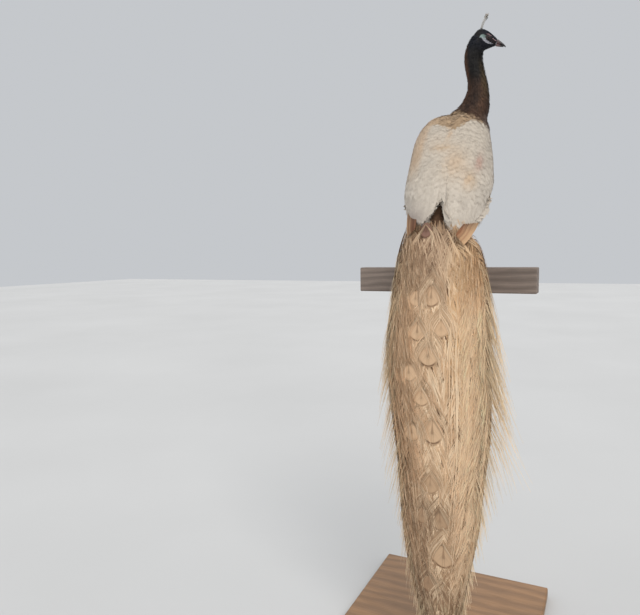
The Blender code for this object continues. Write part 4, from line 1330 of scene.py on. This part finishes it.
def feather_runs(form, root_share, end_share, root_height, end_height, lift, facing, rng):
    """Each under feather's shaft as points down the train."""
    shape = (len(root_share), 1)
    root_share, end_share, root_height, end_height, lift = (
        values[:, None] for values in (root_share, end_share, root_height, end_height, lift))
    t = np.linspace(0.0, 1.0, 40)
    h = root_height + (end_height - root_height) * t
    fall = rise(root_height - h, 0.0, 0.42)
    wave = 0.03 * np.sin(t * rng.uniform(3.0, 7.0, shape) + rng.uniform(0.0, 6.3, shape))
    share = root_share + (end_share - root_share) * fall + wave * t
    points, outward = form.place(share, h, lift * (0.35 + 0.65 * rise(t, 0.0, 0.2)), facing)
    return points, outward, unit(np.gradient(points, axis=1))


def barb_strips(base, way, side, outward, length, opening, closing, bulge, width, rows, rng):
    """Thin curved strips that leave a shaft sideways and droop along it. Opening and closing are angles."""
    length, opening, closing, bulge, width = (
        np.reshape(values, (-1, 1, 1)) for values in (length, opening, closing, bulge, width))
    way, side, outward = (values[:, None, :] for values in (way, side, outward))
    t = np.linspace(0.0, 1.0, rows)[:, None]
    angle = opening + (closing - opening) * t
    heading = way * np.cos(angle) + side * np.sin(angle)
    walked = np.cumsum(heading[:, :-1] * (length / (rows - 1)), axis=1)
    line = base[:, None, :] + np.pad(walked, ((0, 0), (1, 0), (0, 0))) + outward * bulge * np.sin(t * 2.4)
    twist = rng.normal(0.0, 0.5, (len(base), 1, 1))
    flat = unit(np.cross(outward, heading) * np.cos(twist) + outward * np.sin(twist))
    return ribbons(line, flat * (0.5 * width * (1.0 - 0.72 * t)))


def barb_tones(base, rows, rng, root=0.62, tip=1.12, spread=0.20):
    """Each barb's tone: darker at the root and lighter at the tip, partly its own colour and partly painted
    shade and highlight; uneven between barbs, some of them pale, partly as painted highlight.
    """
    along = np.linspace(0.0, 1.0, rows)[:, None]
    shade = root + (tip - root) * rise(along, 0.0, 0.85)
    own = np.clip(rng.normal(1.0, spread, (len(base), 1, 1, 1)), 0.45, 1.5)
    pale = (rng.random(len(base)) < 0.18)[:, None, None] * rise(along, 0.1, 0.6) * 0.8
    return toward(base[:, None, None, :] * shade[..., None] * own, PALE_STRAND_AND_HIGHLIGHT, pale)


def add_strips(name, strips, base_tone, base, skin, rng, **shading):
    tone = barb_tones(base_tone, strips.shape[1], rng, **shading)
    add_feathers(name, strips, tone, skin.bake_places_near(base), TRAIN_COAT)


def strips_along(line, outward, width, rng):
    """Thin strips along lines that lie on the train, and their first points."""
    t = np.linspace(0.0, 1.0, line.shape[1])[:, None]
    flat = np.cross(outward, unit(np.gradient(line, axis=1)))
    half = 0.5 * width * rng.uniform(0.6, 1.25, (len(line), 1, 1)) * (1.0 - 0.6 * t)
    return ribbons(line, flat * half), line[:, 0]


def barbs_on_runs(points, outward, ways, spacing, width, opening, closing, rng):
    """Barbs down both sides of every shaft, their first points and the feather each belongs to."""
    first = 0.06
    last_station = points.shape[1] - 1
    number = []
    along = []
    hand = []
    for feather, line in enumerate(points):
        run = np.linalg.norm(np.diff(line, axis=0), axis=1).sum()
        amount = max(4, int(run * (1.0 - first) / spacing))
        t = np.clip(first + (1.0 - first) * (np.arange(amount) + rng.random(amount)) / amount, 0.0, 1.0)
        number.append(np.full(amount * 2, feather))
        along.append(np.tile(t, 2))
        hand.append(np.repeat((-1.0, 1.0), amount))
    number, along, hand = (np.concatenate(values) for values in (number, along, hand))
    place = along * last_station
    station = np.minimum(place.astype(int), last_station - 1)
    part = (place - station)[:, None]
    base, out, way = (values[number, station] * (1 - part) + values[number, station + 1] * part
                      for values in (points, outward, ways))
    out = unit(out)
    way = unit(way)
    total = len(base)
    length = 0.050 * rng.uniform(0.72, 1.2, total)
    opening = opening[number] * rng.uniform(0.8, 1.2, total)
    closing = closing[number] + rng.normal(0.0, 0.10, total)
    bulge = rng.normal(0.0012, 0.0016, total)
    width = width * rng.uniform(0.6, 1.35, total)
    strips = barb_strips(base, way, np.cross(out, way) * hand[:, None], out, length, opening, closing,
                         bulge, width, 4, rng)
    return strips, base, number


def lay_under_feathers(form, skin, facing, count, spacing, width, root_heights, rng):
    """The inner train: shafts with barbs down both sides, the longest nearest the skin."""
    root_share = rng.uniform(-0.88, 0.88, count)
    end_share = np.clip(root_share + rng.normal(0.0, 0.08, count), -0.96, 0.96)
    end_height = np.sort(rng.uniform(-0.99, -0.08, count))
    runs, outward, ways = feather_runs(form, root_share, end_share, rng.uniform(*root_heights, count),
                                       end_height, np.linspace(0.001, 0.0055, count), facing, rng)
    strips, base, number = barbs_on_runs(runs, outward, ways, spacing, width, rng.uniform(0.42, 0.60, count),
                                         rng.uniform(0.06, 0.16, count), rng)
    if facing == REAR:
        press_down(form, strips)
    own = np.clip(rng.normal(0.98, 0.06, count), 0.8, 1.12)[number][:, None]
    add_strips("train_barbs_" + FACE_NAMES[facing], hold_in(form, strips), train_tone(base) * own, base,
               skin, rng, spread=0.10)
    half = 0.5 * np.linspace(0.0017, 0.0006, runs.shape[1])[:, None]
    shafts = ribbons(runs, np.cross(outward, ways) * half) + outward[:, :, None, :] * 0.0006
    tone = train_tone(runs[:, 0])[:, None, None, :] * 1.12
    places = skin.bake_places_near(runs[:, 0])
    add_feathers("train_shafts_" + FACE_NAMES[facing], shafts, tone, places, TRAIN_COAT)


def strand_feathers(form, facing, level_step, rng):
    """Where the outer train feathers end: share, height, drift of the shaft, length of barbs shown."""
    ends = []
    if facing == REAR:
        for x, h, half, _ in EYESPOTS:
            foot = h - half * 1.4
            ends.append((form.share_of(x, foot), foot, rng.uniform(-0.10, 0.10), 0.24))
    level = -0.985
    while level < 0.09:
        for share in np.arange(-0.90, 0.95, 0.40) + rng.uniform(-0.10, 0.10):
            h = level + rng.uniform(-0.025, 0.025)
            ends.append((share + rng.uniform(-0.10, 0.10), h, rng.uniform(-0.12, 0.12), 0.21))
        level += level_step
    ends = np.array(ends).T
    return ends[:, np.argsort(ends[1])]


def lay_strands(form, skin, facing, spacing, level_step, seed):
    """The outer train: barbs that cling in long strands and droop from each shaft, higher ones on top."""
    rng = np.random.default_rng(seed)
    share, end_h, drift, reach = strand_feathers(form, facing, level_step, rng)
    shaft = 0.25
    clump_length = 0.0125
    under_disc = 0.0038
    each = int(shaft / spacing)
    number = np.repeat(np.arange(len(share)), each * 2)
    hand = np.tile(np.repeat((-1.0, 1.0), each), len(share))
    along = np.tile((np.arange(each) + 0.5) * spacing, 2 * len(share))
    along = along + rng.uniform(-0.002, 0.002, len(along))
    start_h = end_h[number] + along
    below_wings = start_h < np.minimum(BARB_TOP, wing_edge(form.x_at(share[number], start_h)) - 0.006)
    keep = (along < reach[number]) & below_wings
    number, hand, along, start_h = (values[keep] for values in (number, hand, along, start_h))
    total = len(number)
    x = form.x_at(share[number] + drift[number] * along / shaft, start_h)[:, None]
    rows = 8
    t = np.linspace(0.0, 1.0, rows)
    length = (0.060 + 0.035 * rise(along, 0.0, 0.08)) * rng.uniform(0.85, 1.25, total)
    sweep = 0.52 * rise(x[:, 0], 0.040, 0.085) * rise(start_h, -0.42, -0.08)
    clump = number * 200 + (hand > 0.0) * 100 + (along / clump_length).astype(int)
    clump = np.unique(clump, return_inverse=True)[1].ravel()
    clumps = clump.max() + 1
    lean = rng.normal(0.0, 0.05, clumps)[clump] + rng.normal(0.0, 0.015, total)
    angle = hand[:, None] * (0.52 * (1.0 - t) ** 1.4 + 0.05 + lean[:, None]) + sweep[:, None]
    down, aside = (turned(angle) * length[:, None] / (rows - 1) for turned in (np.cos, np.sin))
    level = np.maximum(start_h[:, None] - (np.cumsum(down, 1) - down), BARB_FOOT)
    wave = 0.0020 * np.sin(level * 46.0 + number[:, None] * 1.7) + 0.0011 * np.sin(level * 118.0 + x * 60.0)
    line_share = form.share_of(x + (np.cumsum(aside, 1) - aside) + wave * t, level)
    kind = rng.random(clumps)[clump]
    height = 0.0050 + 0.0060 * number / len(share) + 0.0016 * (kind - 0.5)
    lift = height[:, None] + 0.0016 * np.sin(np.pi * t) - 0.0012 * t
    if facing == REAR:
        under = under_eyespots(form.x_at(line_share, level), level)
        lift = lift * (1.0 - under) + under_disc * under
    line, outward = form.place(line_share, level, lift, facing)
    flat = unit(np.cross(outward, unit(np.gradient(line, axis=1))))
    roll = rng.normal(0.0, 0.22, (total, 1, 1))
    taper = np.sin(np.pi * (0.16 + 0.80 * t[:, None])) ** 0.8
    width = rng.uniform(0.0020, 0.0038, (total, 1, 1)) * taper
    edge = (flat * np.cos(roll) + outward * np.sin(roll)) * width * 0.5
    points = hold_in(form, np.stack((line - edge, line + outward * width * 0.22, line + edge), 2))
    own = np.clip(rng.normal(1.0, 0.06, len(share)), 0.85, 1.15)[number]
    # Strands of the lowest kinds are painted dark and lie a little lower: painted shade for the gaps between
    # strands. Strands of the highest kinds are painted pale and lie a little higher, partly their own pale
    # barbs and partly painted highlight. Each strand is darker at its root and lighter toward its tip, partly
    # painted shade and highlight.
    pale = rng.uniform(0.25, 0.95, total) * (1.0 - 0.6 * rise(start_h, -0.04, 0.05))
    base = toward(train_tone(line[:, 2]) * own[:, None], PALE_STRAND_AND_HIGHLIGHT, np.where(kind > 0.68, pale, 0.0))
    base = toward(base, DARK_BROWN_AND_GAP_SHADE, np.where(kind < 0.34, rng.uniform(0.50, 1.00, total), 0.0))
    shade = 0.88 + 0.19 * rise(t, 0.0, 0.6)
    add_feathers("train_strands_" + FACE_NAMES[facing], points, base[:, None, None, :] * shade[:, None, None],
                 skin.bake_places_near(line[:, 0]), TRAIN_COAT)


def lay_long_lines(form, skin):
    """Long pale shafts that lie on the strands, most of them down the right of the train."""
    rng = np.random.default_rng(57)
    count = 36
    on_right = 29
    inward = 0.12
    shape = (count, 1)
    t = np.linspace(0.0, 1.0, 30)
    share = np.where(np.arange(count)[:, None] < on_right, rng.uniform(0.22, 0.97, shape),
                     rng.uniform(-0.95, -0.55, shape))
    top = rng.uniform(-0.40, 0.02, shape)
    level = np.maximum(top - rng.uniform(0.30, 0.62, shape) * t, -0.985)
    wave = 0.025 * np.sin(t * 5.0 + rng.uniform(0.0, 6.0, shape))
    lift = 0.0098 + 0.0035 * (level + 1.0) * np.sin(np.pi * np.clip(t * 1.02, 0.0, 1.0)) ** 0.3
    line, outward = form.place(share - inward * np.sign(share) * t + wave, level, lift, REAR)
    strips, base = strips_along(line, outward, 0.0027, rng)
    tone = toward(train_tone(base), PALE_STRAND_AND_HIGHLIGHT, rng.uniform(0.45, 1.0, count))
    add_strips("train_long_lines", strips, tone, base, skin, rng, root=0.95, tip=1.04, spread=0.05)


# Heights down the train's edges, and the lengths and opening angles of the wisps there on each side.
WISP_LEVELS = (-0.92, -0.60, -0.45, -0.36, -0.20, -0.05, 0.05)
LEFT_WISPS = ((0.045, 0.075, 0.120, 0.130, 0.105, 0.075, 0.045), (0.16, 0.22, 0.30, 0.30, 0.26, 0.24, 0.18))
RIGHT_WISPS = ((0.040, 0.075, 0.120, 0.185, 0.180, 0.130, 0.050), (0.22, 0.26, 0.32, 0.50, 0.42, 0.30, 0.20))


def build_edge_wisps(form, skin):
    """Long loose barbs that stand out from both edges of the train and thin out at its tip."""
    rng = np.random.default_rng(61)
    sets = []
    for hand, (lengths, angles), amount in ((-1.0, LEFT_WISPS, 1050), (1.0, RIGHT_WISPS, 860)):
        h = rng.uniform(-0.92, 0.05, amount)
        h = np.where((h < -0.25) & (rng.random(amount) < 0.35), rng.uniform(-0.25, 0.05, amount), h)
        base, outward = form.place(hand * rng.uniform(0.72, 0.97, amount), h, 0.006, REAR)
        base[:, 1] += rng.uniform(-0.010, 0.010, amount)
        length = np.interp(h, WISP_LEVELS, lengths) * rng.uniform(0.45, 1.15, amount)
        opening = np.interp(h, WISP_LEVELS, angles) * rng.uniform(0.75, 1.20, amount)
        sets.append((base, outward, length, np.full(amount, hand), opening))
    amount = 380
    share = rng.uniform(-0.95, 0.95, amount)
    h = rng.uniform(-0.985, -0.86, amount)
    base, outward = form.place(share, h, rng.uniform(0.0, 0.008, amount), REAR)
    sets.append((base, outward, np.minimum(rng.uniform(0.03, 0.07, amount), h + 1.012), np.sign(share),
                 rng.uniform(0.05, 0.30, amount)))
    base, outward, length, hand, opening = (np.concatenate(values) for values in zip(*sets))
    total = len(base)
    side = unit(np.stack((hand, rng.normal(0.0, 0.15, total), np.zeros(total)), 1))
    strips = barb_strips(base, np.array([[0.0, 0.0, -1.0]]), side, unit(outward + (0.0, -1.0, 0.0)), length,
                         opening, opening * rng.uniform(0.45, 0.95, total), rng.normal(0.0, 0.003, total),
                         rng.uniform(0.0008, 0.0016, total), 6, rng)
    tone = toward(train_tone(base), WISP_STRAW, rng.uniform(0.3, 0.95, total))
    add_strips("train_wisps", strips, tone, base, skin, rng, root=0.85, tip=1.05, spread=0.12)


def eyespot_outline(v):
    """Half width of an eyespot's vane from its top (0) to its foot (1), as a share of the widest."""
    upper = np.clip(v / 0.60, 0.0, 1.0)
    lower = np.clip((v - 0.60) / 0.40, 0.0, 1.0)
    return np.where(v < 0.60, np.sin(upper * np.pi / 2) ** 0.80, np.sqrt(1.0 - lower ** 2 * 0.98))


def build_eyespots(form, skin):
    rng = np.random.default_rng(71)
    spots = [(*spot, 0.0062 + 0.0056 * (spot[1] + 1.0)) for spot in EYESPOTS] + [(*ROOT_EYESPOT, 0.0125)]
    v = np.linspace(0.0, 1.0, 15)[:, None]
    across = np.linspace(-1.0, 1.0, 13)
    sunk = 0.0006 * across ** 4 + 0.0045 * (1.0 - v) ** 3
    discs = []
    rims = []
    for x, h, half, _, lift in spots:
        side_x = x + half * eyespot_outline(v) * across
        level = np.broadcast_to(h + half * 2.6 * (0.5 - v), side_x.shape)
        disc = form.place(form.share_of(side_x, level), level, lift - sunk, REAR)[0]
        disc[..., 0] = side_x
        discs.append(disc)
        rims.append(rim_barbs(form, x, h, half, lift, rng))
    points = np.array(discs)
    clear = np.array(spots)[:, 3]
    tone = toward(train_tone(points[:, 7, 6]) * 0.98, paint(206, 176, 144), 0.35 * clear)
    tone[-1] = paint(132, 100, 86)
    number = np.arange(len(spots))
    places = 0.05 + 0.9 * (np.stack((number % 5, number // 5), 1) + 0.5) / 5
    add_feathers("train_eyespots", points, tone[:, None, None, :], places, EYESPOT_FINISH, marked=clear,
                 patch=0.17)
    strips, base = (np.concatenate(values) for values in zip(*rims))
    tone = toward(train_tone(base), PALE_STRAND_AND_HIGHLIGHT, 0.75 * rng.uniform(0.0, 1.0, len(base)) ** 2.0)
    add_strips("eyespot_rim_barbs", strips, tone, base, skin, rng, root=0.92, tip=1.08, spread=0.12)


def rim_barbs(form, x, h, half, lift, rng):
    """Barbs that leave the shaft above an eyespot, pass beside its disc and hang on below it."""
    each = 24 if half > 0.018 else 7
    t = np.linspace(0.0, 1.0, 8)
    hand = np.repeat((-1.0, 1.0), each)[:, None]
    above = rng.uniform(0.0, 1.0, hand.shape)
    fan = np.where(hand > 0.0, rng.uniform(-0.30, 0.55, hand.shape), rng.uniform(-0.45, 0.05, hand.shape))
    wide = half * (rng.uniform(0.96, 1.10, hand.shape) + 0.55 * above)
    top = np.minimum(h + half * (1.00 + 1.90 * above), wing_edge(x) - 0.005)
    level = top - half * (3.5 + 0.9 * rng.uniform(0.0, 1.0, hand.shape)) * t
    spread = np.sin(0.5 * np.pi * np.clip(t / 0.60, 0.0, 1.0)) ** 1.15
    line_x = x + hand * wide * (spread + fan * np.clip((t - 0.5) / 0.5, 0.0, 1.0) ** 1.3)
    raised = lift + 0.0006 + rng.normal(0.0, 0.0010, hand.shape) + 0.0012 * np.sin(np.pi * t) - 0.0010 * t
    line, outward = form.place(form.share_of(line_x, level), level, raised, REAR)
    line[..., 0] = line_x
    return strips_along(line, outward, 0.0018, rng)


def build_train(skin):
    form = TrainForm(skin)
    rng = np.random.default_rng(51)
    lay_under_feathers(form, skin, REAR, 150, 0.0030, 0.0013, (0.100, 0.125), rng)
    lay_strands(form, skin, REAR, 0.0060, 0.058, 55)
    lay_under_feathers(form, skin, FRONT, 60, 0.0050, 0.0020, (0.02, 0.07), rng)
    lay_strands(form, skin, FRONT, 0.0095, 0.095, 56)
    lay_long_lines(form, skin)
    build_edge_wisps(form, skin)
    build_eyespots(form, skin)


# ---------------------------------------------------------------- head

def smoothed_copy(node, label, step, rounds):
    """A finer, rounder copy of a small CAD node."""
    piece = remeshed_copy([node], label, step)
    set_points(piece.data, relaxed(points_of(piece.data), edges_of(piece.data), 0.5, rounds))
    return piece


def build_eyes():
    for name, hand in (("eye_left", -1.0), ("eye_right", 1.0)):
        low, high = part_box(name)
        middle = (low + high) * 0.5
        radius = (high.z - low.z) * 0.5
        deselect_all()
        bpy.ops.mesh.primitive_uv_sphere_add(segments=32, ring_count=20, radius=radius, location=middle)
        ball = bpy.context.active_object
        ball.name = "eyeball_" + name[4:]
        facing = Vector(HEAD_SIDE) * hand + Vector(HEAD_FORWARD) * 0.20
        ball.rotation_euler = facing.to_track_quat("Z", "Y").to_euler()
        bpy.context.view_layer.update()
        place_in_mesh(ball)
        middle = np.array(middle)
        facing = np.array(facing.normalized())
        away = points_of(ball.data) - middle
        out = away @ facing / radius
        set_points(ball.data, middle + away * (1.0 + 0.10 * rise(out, 0.72, 0.98))[:, None])
        tone = np.tile(paint(46, 29, 21), (len(out), 1))
        tone = toward(tone, paint(30, 18, 12), 1.0 - rise(out, 0.70, 0.80))
        store_tone(ball.data, toward(tone, paint(6, 5, 5), rise(out, 0.885, 0.915)))
        finish_piece(ball, EYE_FINISH, name)
        build_lid(name, middle, facing, radius)


def build_lid(name, middle, facing, radius):
    """A soft almond rim of bare skin that holds the eyeball."""
    ahead = along_surface(HEAD_FORWARD, facing)
    up = np.cross(facing, ahead)
    up = up * np.sign(up @ HEAD_UP)
    rows = 7
    turn = np.linspace(0.0, 2.0 * np.pi, 40)
    share = np.linspace(0.0, 1.0, rows)[:, None]
    opening = (0.60 + 0.52 * share) * radius
    lens = 1.0 - 0.16 * np.abs(np.sin(turn)) * (1.0 - share)
    long_way = np.cos(turn) * opening * (1.22 - 0.10 * share) * lens
    short_way = np.sin(turn) * opening * lens * (0.92 + 0.08 * share)
    away = np.minimum(long_way ** 2 + short_way ** 2, radius ** 2 * 0.92)
    swell = 0.0009 * np.sin(np.pi * np.minimum(share * 1.25, 1.0)) + 0.0002
    out = np.sqrt(radius ** 2 * 1.02 - away) + swell - 0.0032 * share ** 2
    rim = middle + ahead * long_way[..., None] + up * short_way[..., None] + facing * out[..., None]
    tone = np.tile(EYE_STRIPE, (1, rows, 1, 1))
    tone[0, 1:3] = paint(50, 34, 31)
    add_feathers("eyelid_" + name[4:], rim[None], tone, np.array([[0.5, 0.5]]), LID_FINISH, patch=0.9)


def build_bill():
    for node in ("bill_upper", "bill_lower"):
        piece = smoothed_copy(node, node + "_horn", 0.00045, 4)
        points = points_of(piece.data)
        ahead, up, beside = head_places(points)
        tone = np.tile(paint(118, 92, 92), (len(points), 1))
        if node == "bill_upper":
            ridge_height = np.interp(ahead, (0.015, 0.030, 0.045), (0.000, -0.004, -0.012))
            tone = toward(tone, paint(66, 54, 52), rise(up - ridge_height, 0.0005, 0.0035))
            # The nostril is painted near black, painted shade of its opening, over a small dent.
            nostril = np.hypot((ahead - 0.0235) / 0.0032, (up + 0.0030) / 0.0011)
            pit = (1.0 - rise(nostril, 0.6, 1.3)) * (np.abs(beside) > 0.0022)
            tone = toward(tone, paint(20, 14, 14), pit)
            set_points(piece.data, points - normals_of(piece.data) * (pit * 0.0009)[:, None])
        store_tone(piece.data, toward(tone, paint(40, 36, 38), rise(ahead, 0.030, 0.041)))
        finish_piece(piece, BILL_FINISH, node)


def build_crest(skin):
    """A fan of bare shafts, each with a small tuft at its tip."""
    low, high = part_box("crest")
    rng = np.random.default_rng(81)
    count = 18
    rows = 9
    t = np.linspace(-1.0, 1.0, count)
    root_middle = np.array([low.x + 0.006, 0.5 * (low.y + high.y), low.z + 0.002])
    upward = unit(np.array([high.x - 0.005 - root_middle[0], 0.0, high.z - 0.006 - root_middle[2]]))
    height = (high.z - low.z - 0.006) / upward[2]
    roots = root_middle + HEAD_SIDE * (t * 0.0048)[:, None]
    roots = roots + HEAD_FORWARD * (rng.uniform(-1, 1, count) * 0.0030)[:, None]
    lean = np.radians(14.0) * t
    reach = height * (1.0 - 0.10 * np.abs(t)) * rng.uniform(0.90, 1.0, count)
    tips = roots + upward * (np.cos(lean) * reach)[:, None] + HEAD_SIDE * (np.sin(lean) * reach)[:, None]
    tips += HEAD_FORWARD * (rng.uniform(-1, 1, count) * 0.0022)[:, None]
    paths, ways = blade_lines(roots, tips, -HEAD_FORWARD * 0.0015, rows)
    ring = np.linspace(0.0, 2.0 * np.pi, 6)[:, None]
    thick = 0.00075 * (1.0 - 0.35 * np.linspace(0.0, 1.0, rows))[:, None, None]
    other = np.cross(ways, HEAD_SIDE)[:, :, None, :]
    tubes = paths[:, :, None, :] + thick * (HEAD_SIDE * np.cos(ring) + other * np.sin(ring))
    place = np.tile(skin.bake_place(skin.snap(root_middle[None, :])[2]), (count, 1))
    add_feathers("crest_shafts", tubes, paint(212, 210, 206), place, CREST_SHAFT_FINISH, ["crest"])
    each = 34
    shape = (count * each, 1)
    tip, way = (np.repeat(values[:, -1], each, 0) for values in (paths, ways))
    start = tip - way * rng.uniform(-0.0008, 0.0085, shape)
    fan = unit(HEAD_SIDE * rng.normal(0, 1, shape) + HEAD_FORWARD * rng.normal(0, 0.8, shape))
    heading = unit(way * 0.8 + fan * rng.uniform(0.2, 0.8, shape))
    out = unit(np.cross(heading, way) + 0.001)
    strips = barb_strips(start, heading, fan, out, rng.uniform(0.0020, 0.0044, shape), 0.1, -0.3, 0.0,
                         0.00055, 3, rng)
    strips[..., 2] = np.minimum(strips[..., 2], high.z + 0.003)
    pale = np.repeat(t + rng.normal(0.0, 0.25, count), each) > 0.35
    base = np.where(pale[:, None], paint(206, 196, 184), paint(30, 30, 34))
    add_feathers("crest_tufts", strips, barb_tones(base, 3, rng, 0.9, 1.05, 0.15), np.repeat(place, each, 0),
                 DARK_COAT)


# ---------------------------------------------------------------- legs

def build_leg_scales(skin):
    """Broad plates down the front of each shank and along the top of each toe, small ones elsewhere."""
    rng = np.random.default_rng(91)
    rows = 4
    toe_height = 0.012
    for hand in ("left", "right"):
        keep = np.isin(skin.owner, ("shank_" + hand, "foot_" + hand))
        starts, normals, places = scattered(skin, keep, 0.0026, 92)
        plate = normals[:, 1] * 0.7 + normals[:, 2] * 0.7 > 0.35
        splay = (starts[:, 0] - box_middle("foot_" + hand)[0]) * 18.0
        toe_way = np.stack((splay, np.sign(starts[:, 1]), np.full(len(starts), -0.25)), 1)
        on_toe = heights(starts) < toe_height
        way = along_surface(np.where(on_toe[:, None], toe_way, (0.0, 0.0, -1.0)), normals)[:, None, :]
        along = np.linspace(0.0, 1.0, rows)[:, None]
        paths = starts[:, None, :] + way * (along * np.where(plate, 0.0042, 0.0026)[:, None, None])
        points = vanes(paths, normals[:, None, :], way, np.where(plate, 0.0050, 0.0028),
                       (0.85, 1.0, 1.0, 0.75), np.full(len(starts), 0.0005), 0.22, columns=4)
        tone = feather_tones(np.tile(LEG_HORN, (len(starts), 1)), rows, rng, 0.8, 1.1, 0.08)
        add_feathers("leg_scales_" + hand, points, tone, places, LEG_FINISH)


def build_claws_and_spurs():
    for node in sorted(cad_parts):
        if node.startswith(("claw_", "spur_")):
            step = 0.00045 if node.startswith("claw_") else 0.0006
            finish_piece(smoothed_copy(node, node + "_horn", step, 3), CLAW_FINISH, node)


# ---------------------------------------------------------------- stand and studio

def finish_stand():
    for node, material in STAND_MATERIALS.items():
        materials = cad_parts[node].data.materials
        materials.clear()
        materials.append(material)


def add_soft_sun(name, way, strength, softness, colour):
    """Even light from one side, soft as from a wide window. Softness is an angle in degrees."""
    data = bpy.data.lights.new(name, "SUN")
    data.energy = strength
    data.angle = math.radians(softness)
    data.color = colour
    lamp = link_new(name, data)
    lamp.location = (0.0, 0.0, 4.0)
    lamp.rotation_euler = Vector(way).to_track_quat("-Z", "Y").to_euler()


def build_studio():
    deselect_all()
    bpy.ops.mesh.primitive_plane_add(size=40.0, location=(0.0, 0.0, -0.0005))
    floor = bpy.context.active_object
    floor.name = "studio_floor"
    place_in_mesh(floor)
    floor.data.materials.append(studio_material())
    world = bpy.data.worlds.new("soft studio")
    bpy.context.scene.world = world
    world.use_nodes = True
    sky = world.node_tree.nodes["Background"]
    sky.inputs["Color"].default_value = (0.90, 0.93, 0.97, 1.0)
    sky.inputs["Strength"].default_value = 0.62
    add_soft_sun("key_light", (-0.55, 0.72, -0.85), 1.75, 36, (1.0, 0.97, 0.93))
    add_soft_sun("fill_light", (0.80, 0.50, -0.45), 0.45, 60, (0.96, 0.98, 1.0))
    add_soft_sun("back_light", (0.15, -0.85, -0.70), 0.55, 50, (1.0, 1.0, 1.0))
    bpy.context.scene.view_settings.view_transform = "Standard"


def build_camera():
    """Stands a little right of the bird's back, level with the rail, looking left and slightly down."""
    turn = math.radians(25.8)
    dip = math.radians(5.2)
    roll = math.radians(0.7)
    ahead = Vector((-math.sin(turn) * math.cos(dip), math.cos(turn) * math.cos(dip), -math.sin(dip)))
    level = Vector((math.cos(turn), math.sin(turn), 0.0))
    above = level.cross(ahead)
    right = level * math.cos(roll) - above * math.sin(roll)
    upright = above * math.cos(roll) + level * math.sin(roll)
    data = bpy.data.cameras.new("camera")
    data.lens = 33.75
    data.sensor_width = 36.0
    data.sensor_fit = "HORIZONTAL"
    data.clip_start = 0.01
    data.clip_end = 100.0
    camera = link_new("camera", data)
    place = Vector((0.421, -1.688, RAIL_TOP + 0.045))
    camera.matrix_world = Matrix.Translation(place) @ Matrix((right, upright, -ahead)).transposed().to_4x4()
    bpy.context.scene.camera = camera


# ---------------------------------------------------------------- put together

def build_peacock():
    piece, owner = build_skin()
    skin = Skin(piece, owner)
    store_tone(piece.data, skin_tone(skin.points, skin.normals, owner))
    finish_piece(piece, SKIN_FINISH, *FLESH)
    build_body_coat(skin)
    build_flight_feathers(skin)
    build_wing_end("left", skin, -0.074, 0.0170, 0.015, -0.10, 0.02, 41)
    build_wing_end("right", skin, 0.0205, 0.122, 0.020, 0.02, 0.42, 43)
    build_train(skin)
    build_eyes()
    build_bill()
    build_crest(skin)
    build_leg_scales(skin)
    build_claws_and_spurs()


deselect_all()
build_peacock()
finish_stand()
build_studio()
build_camera()
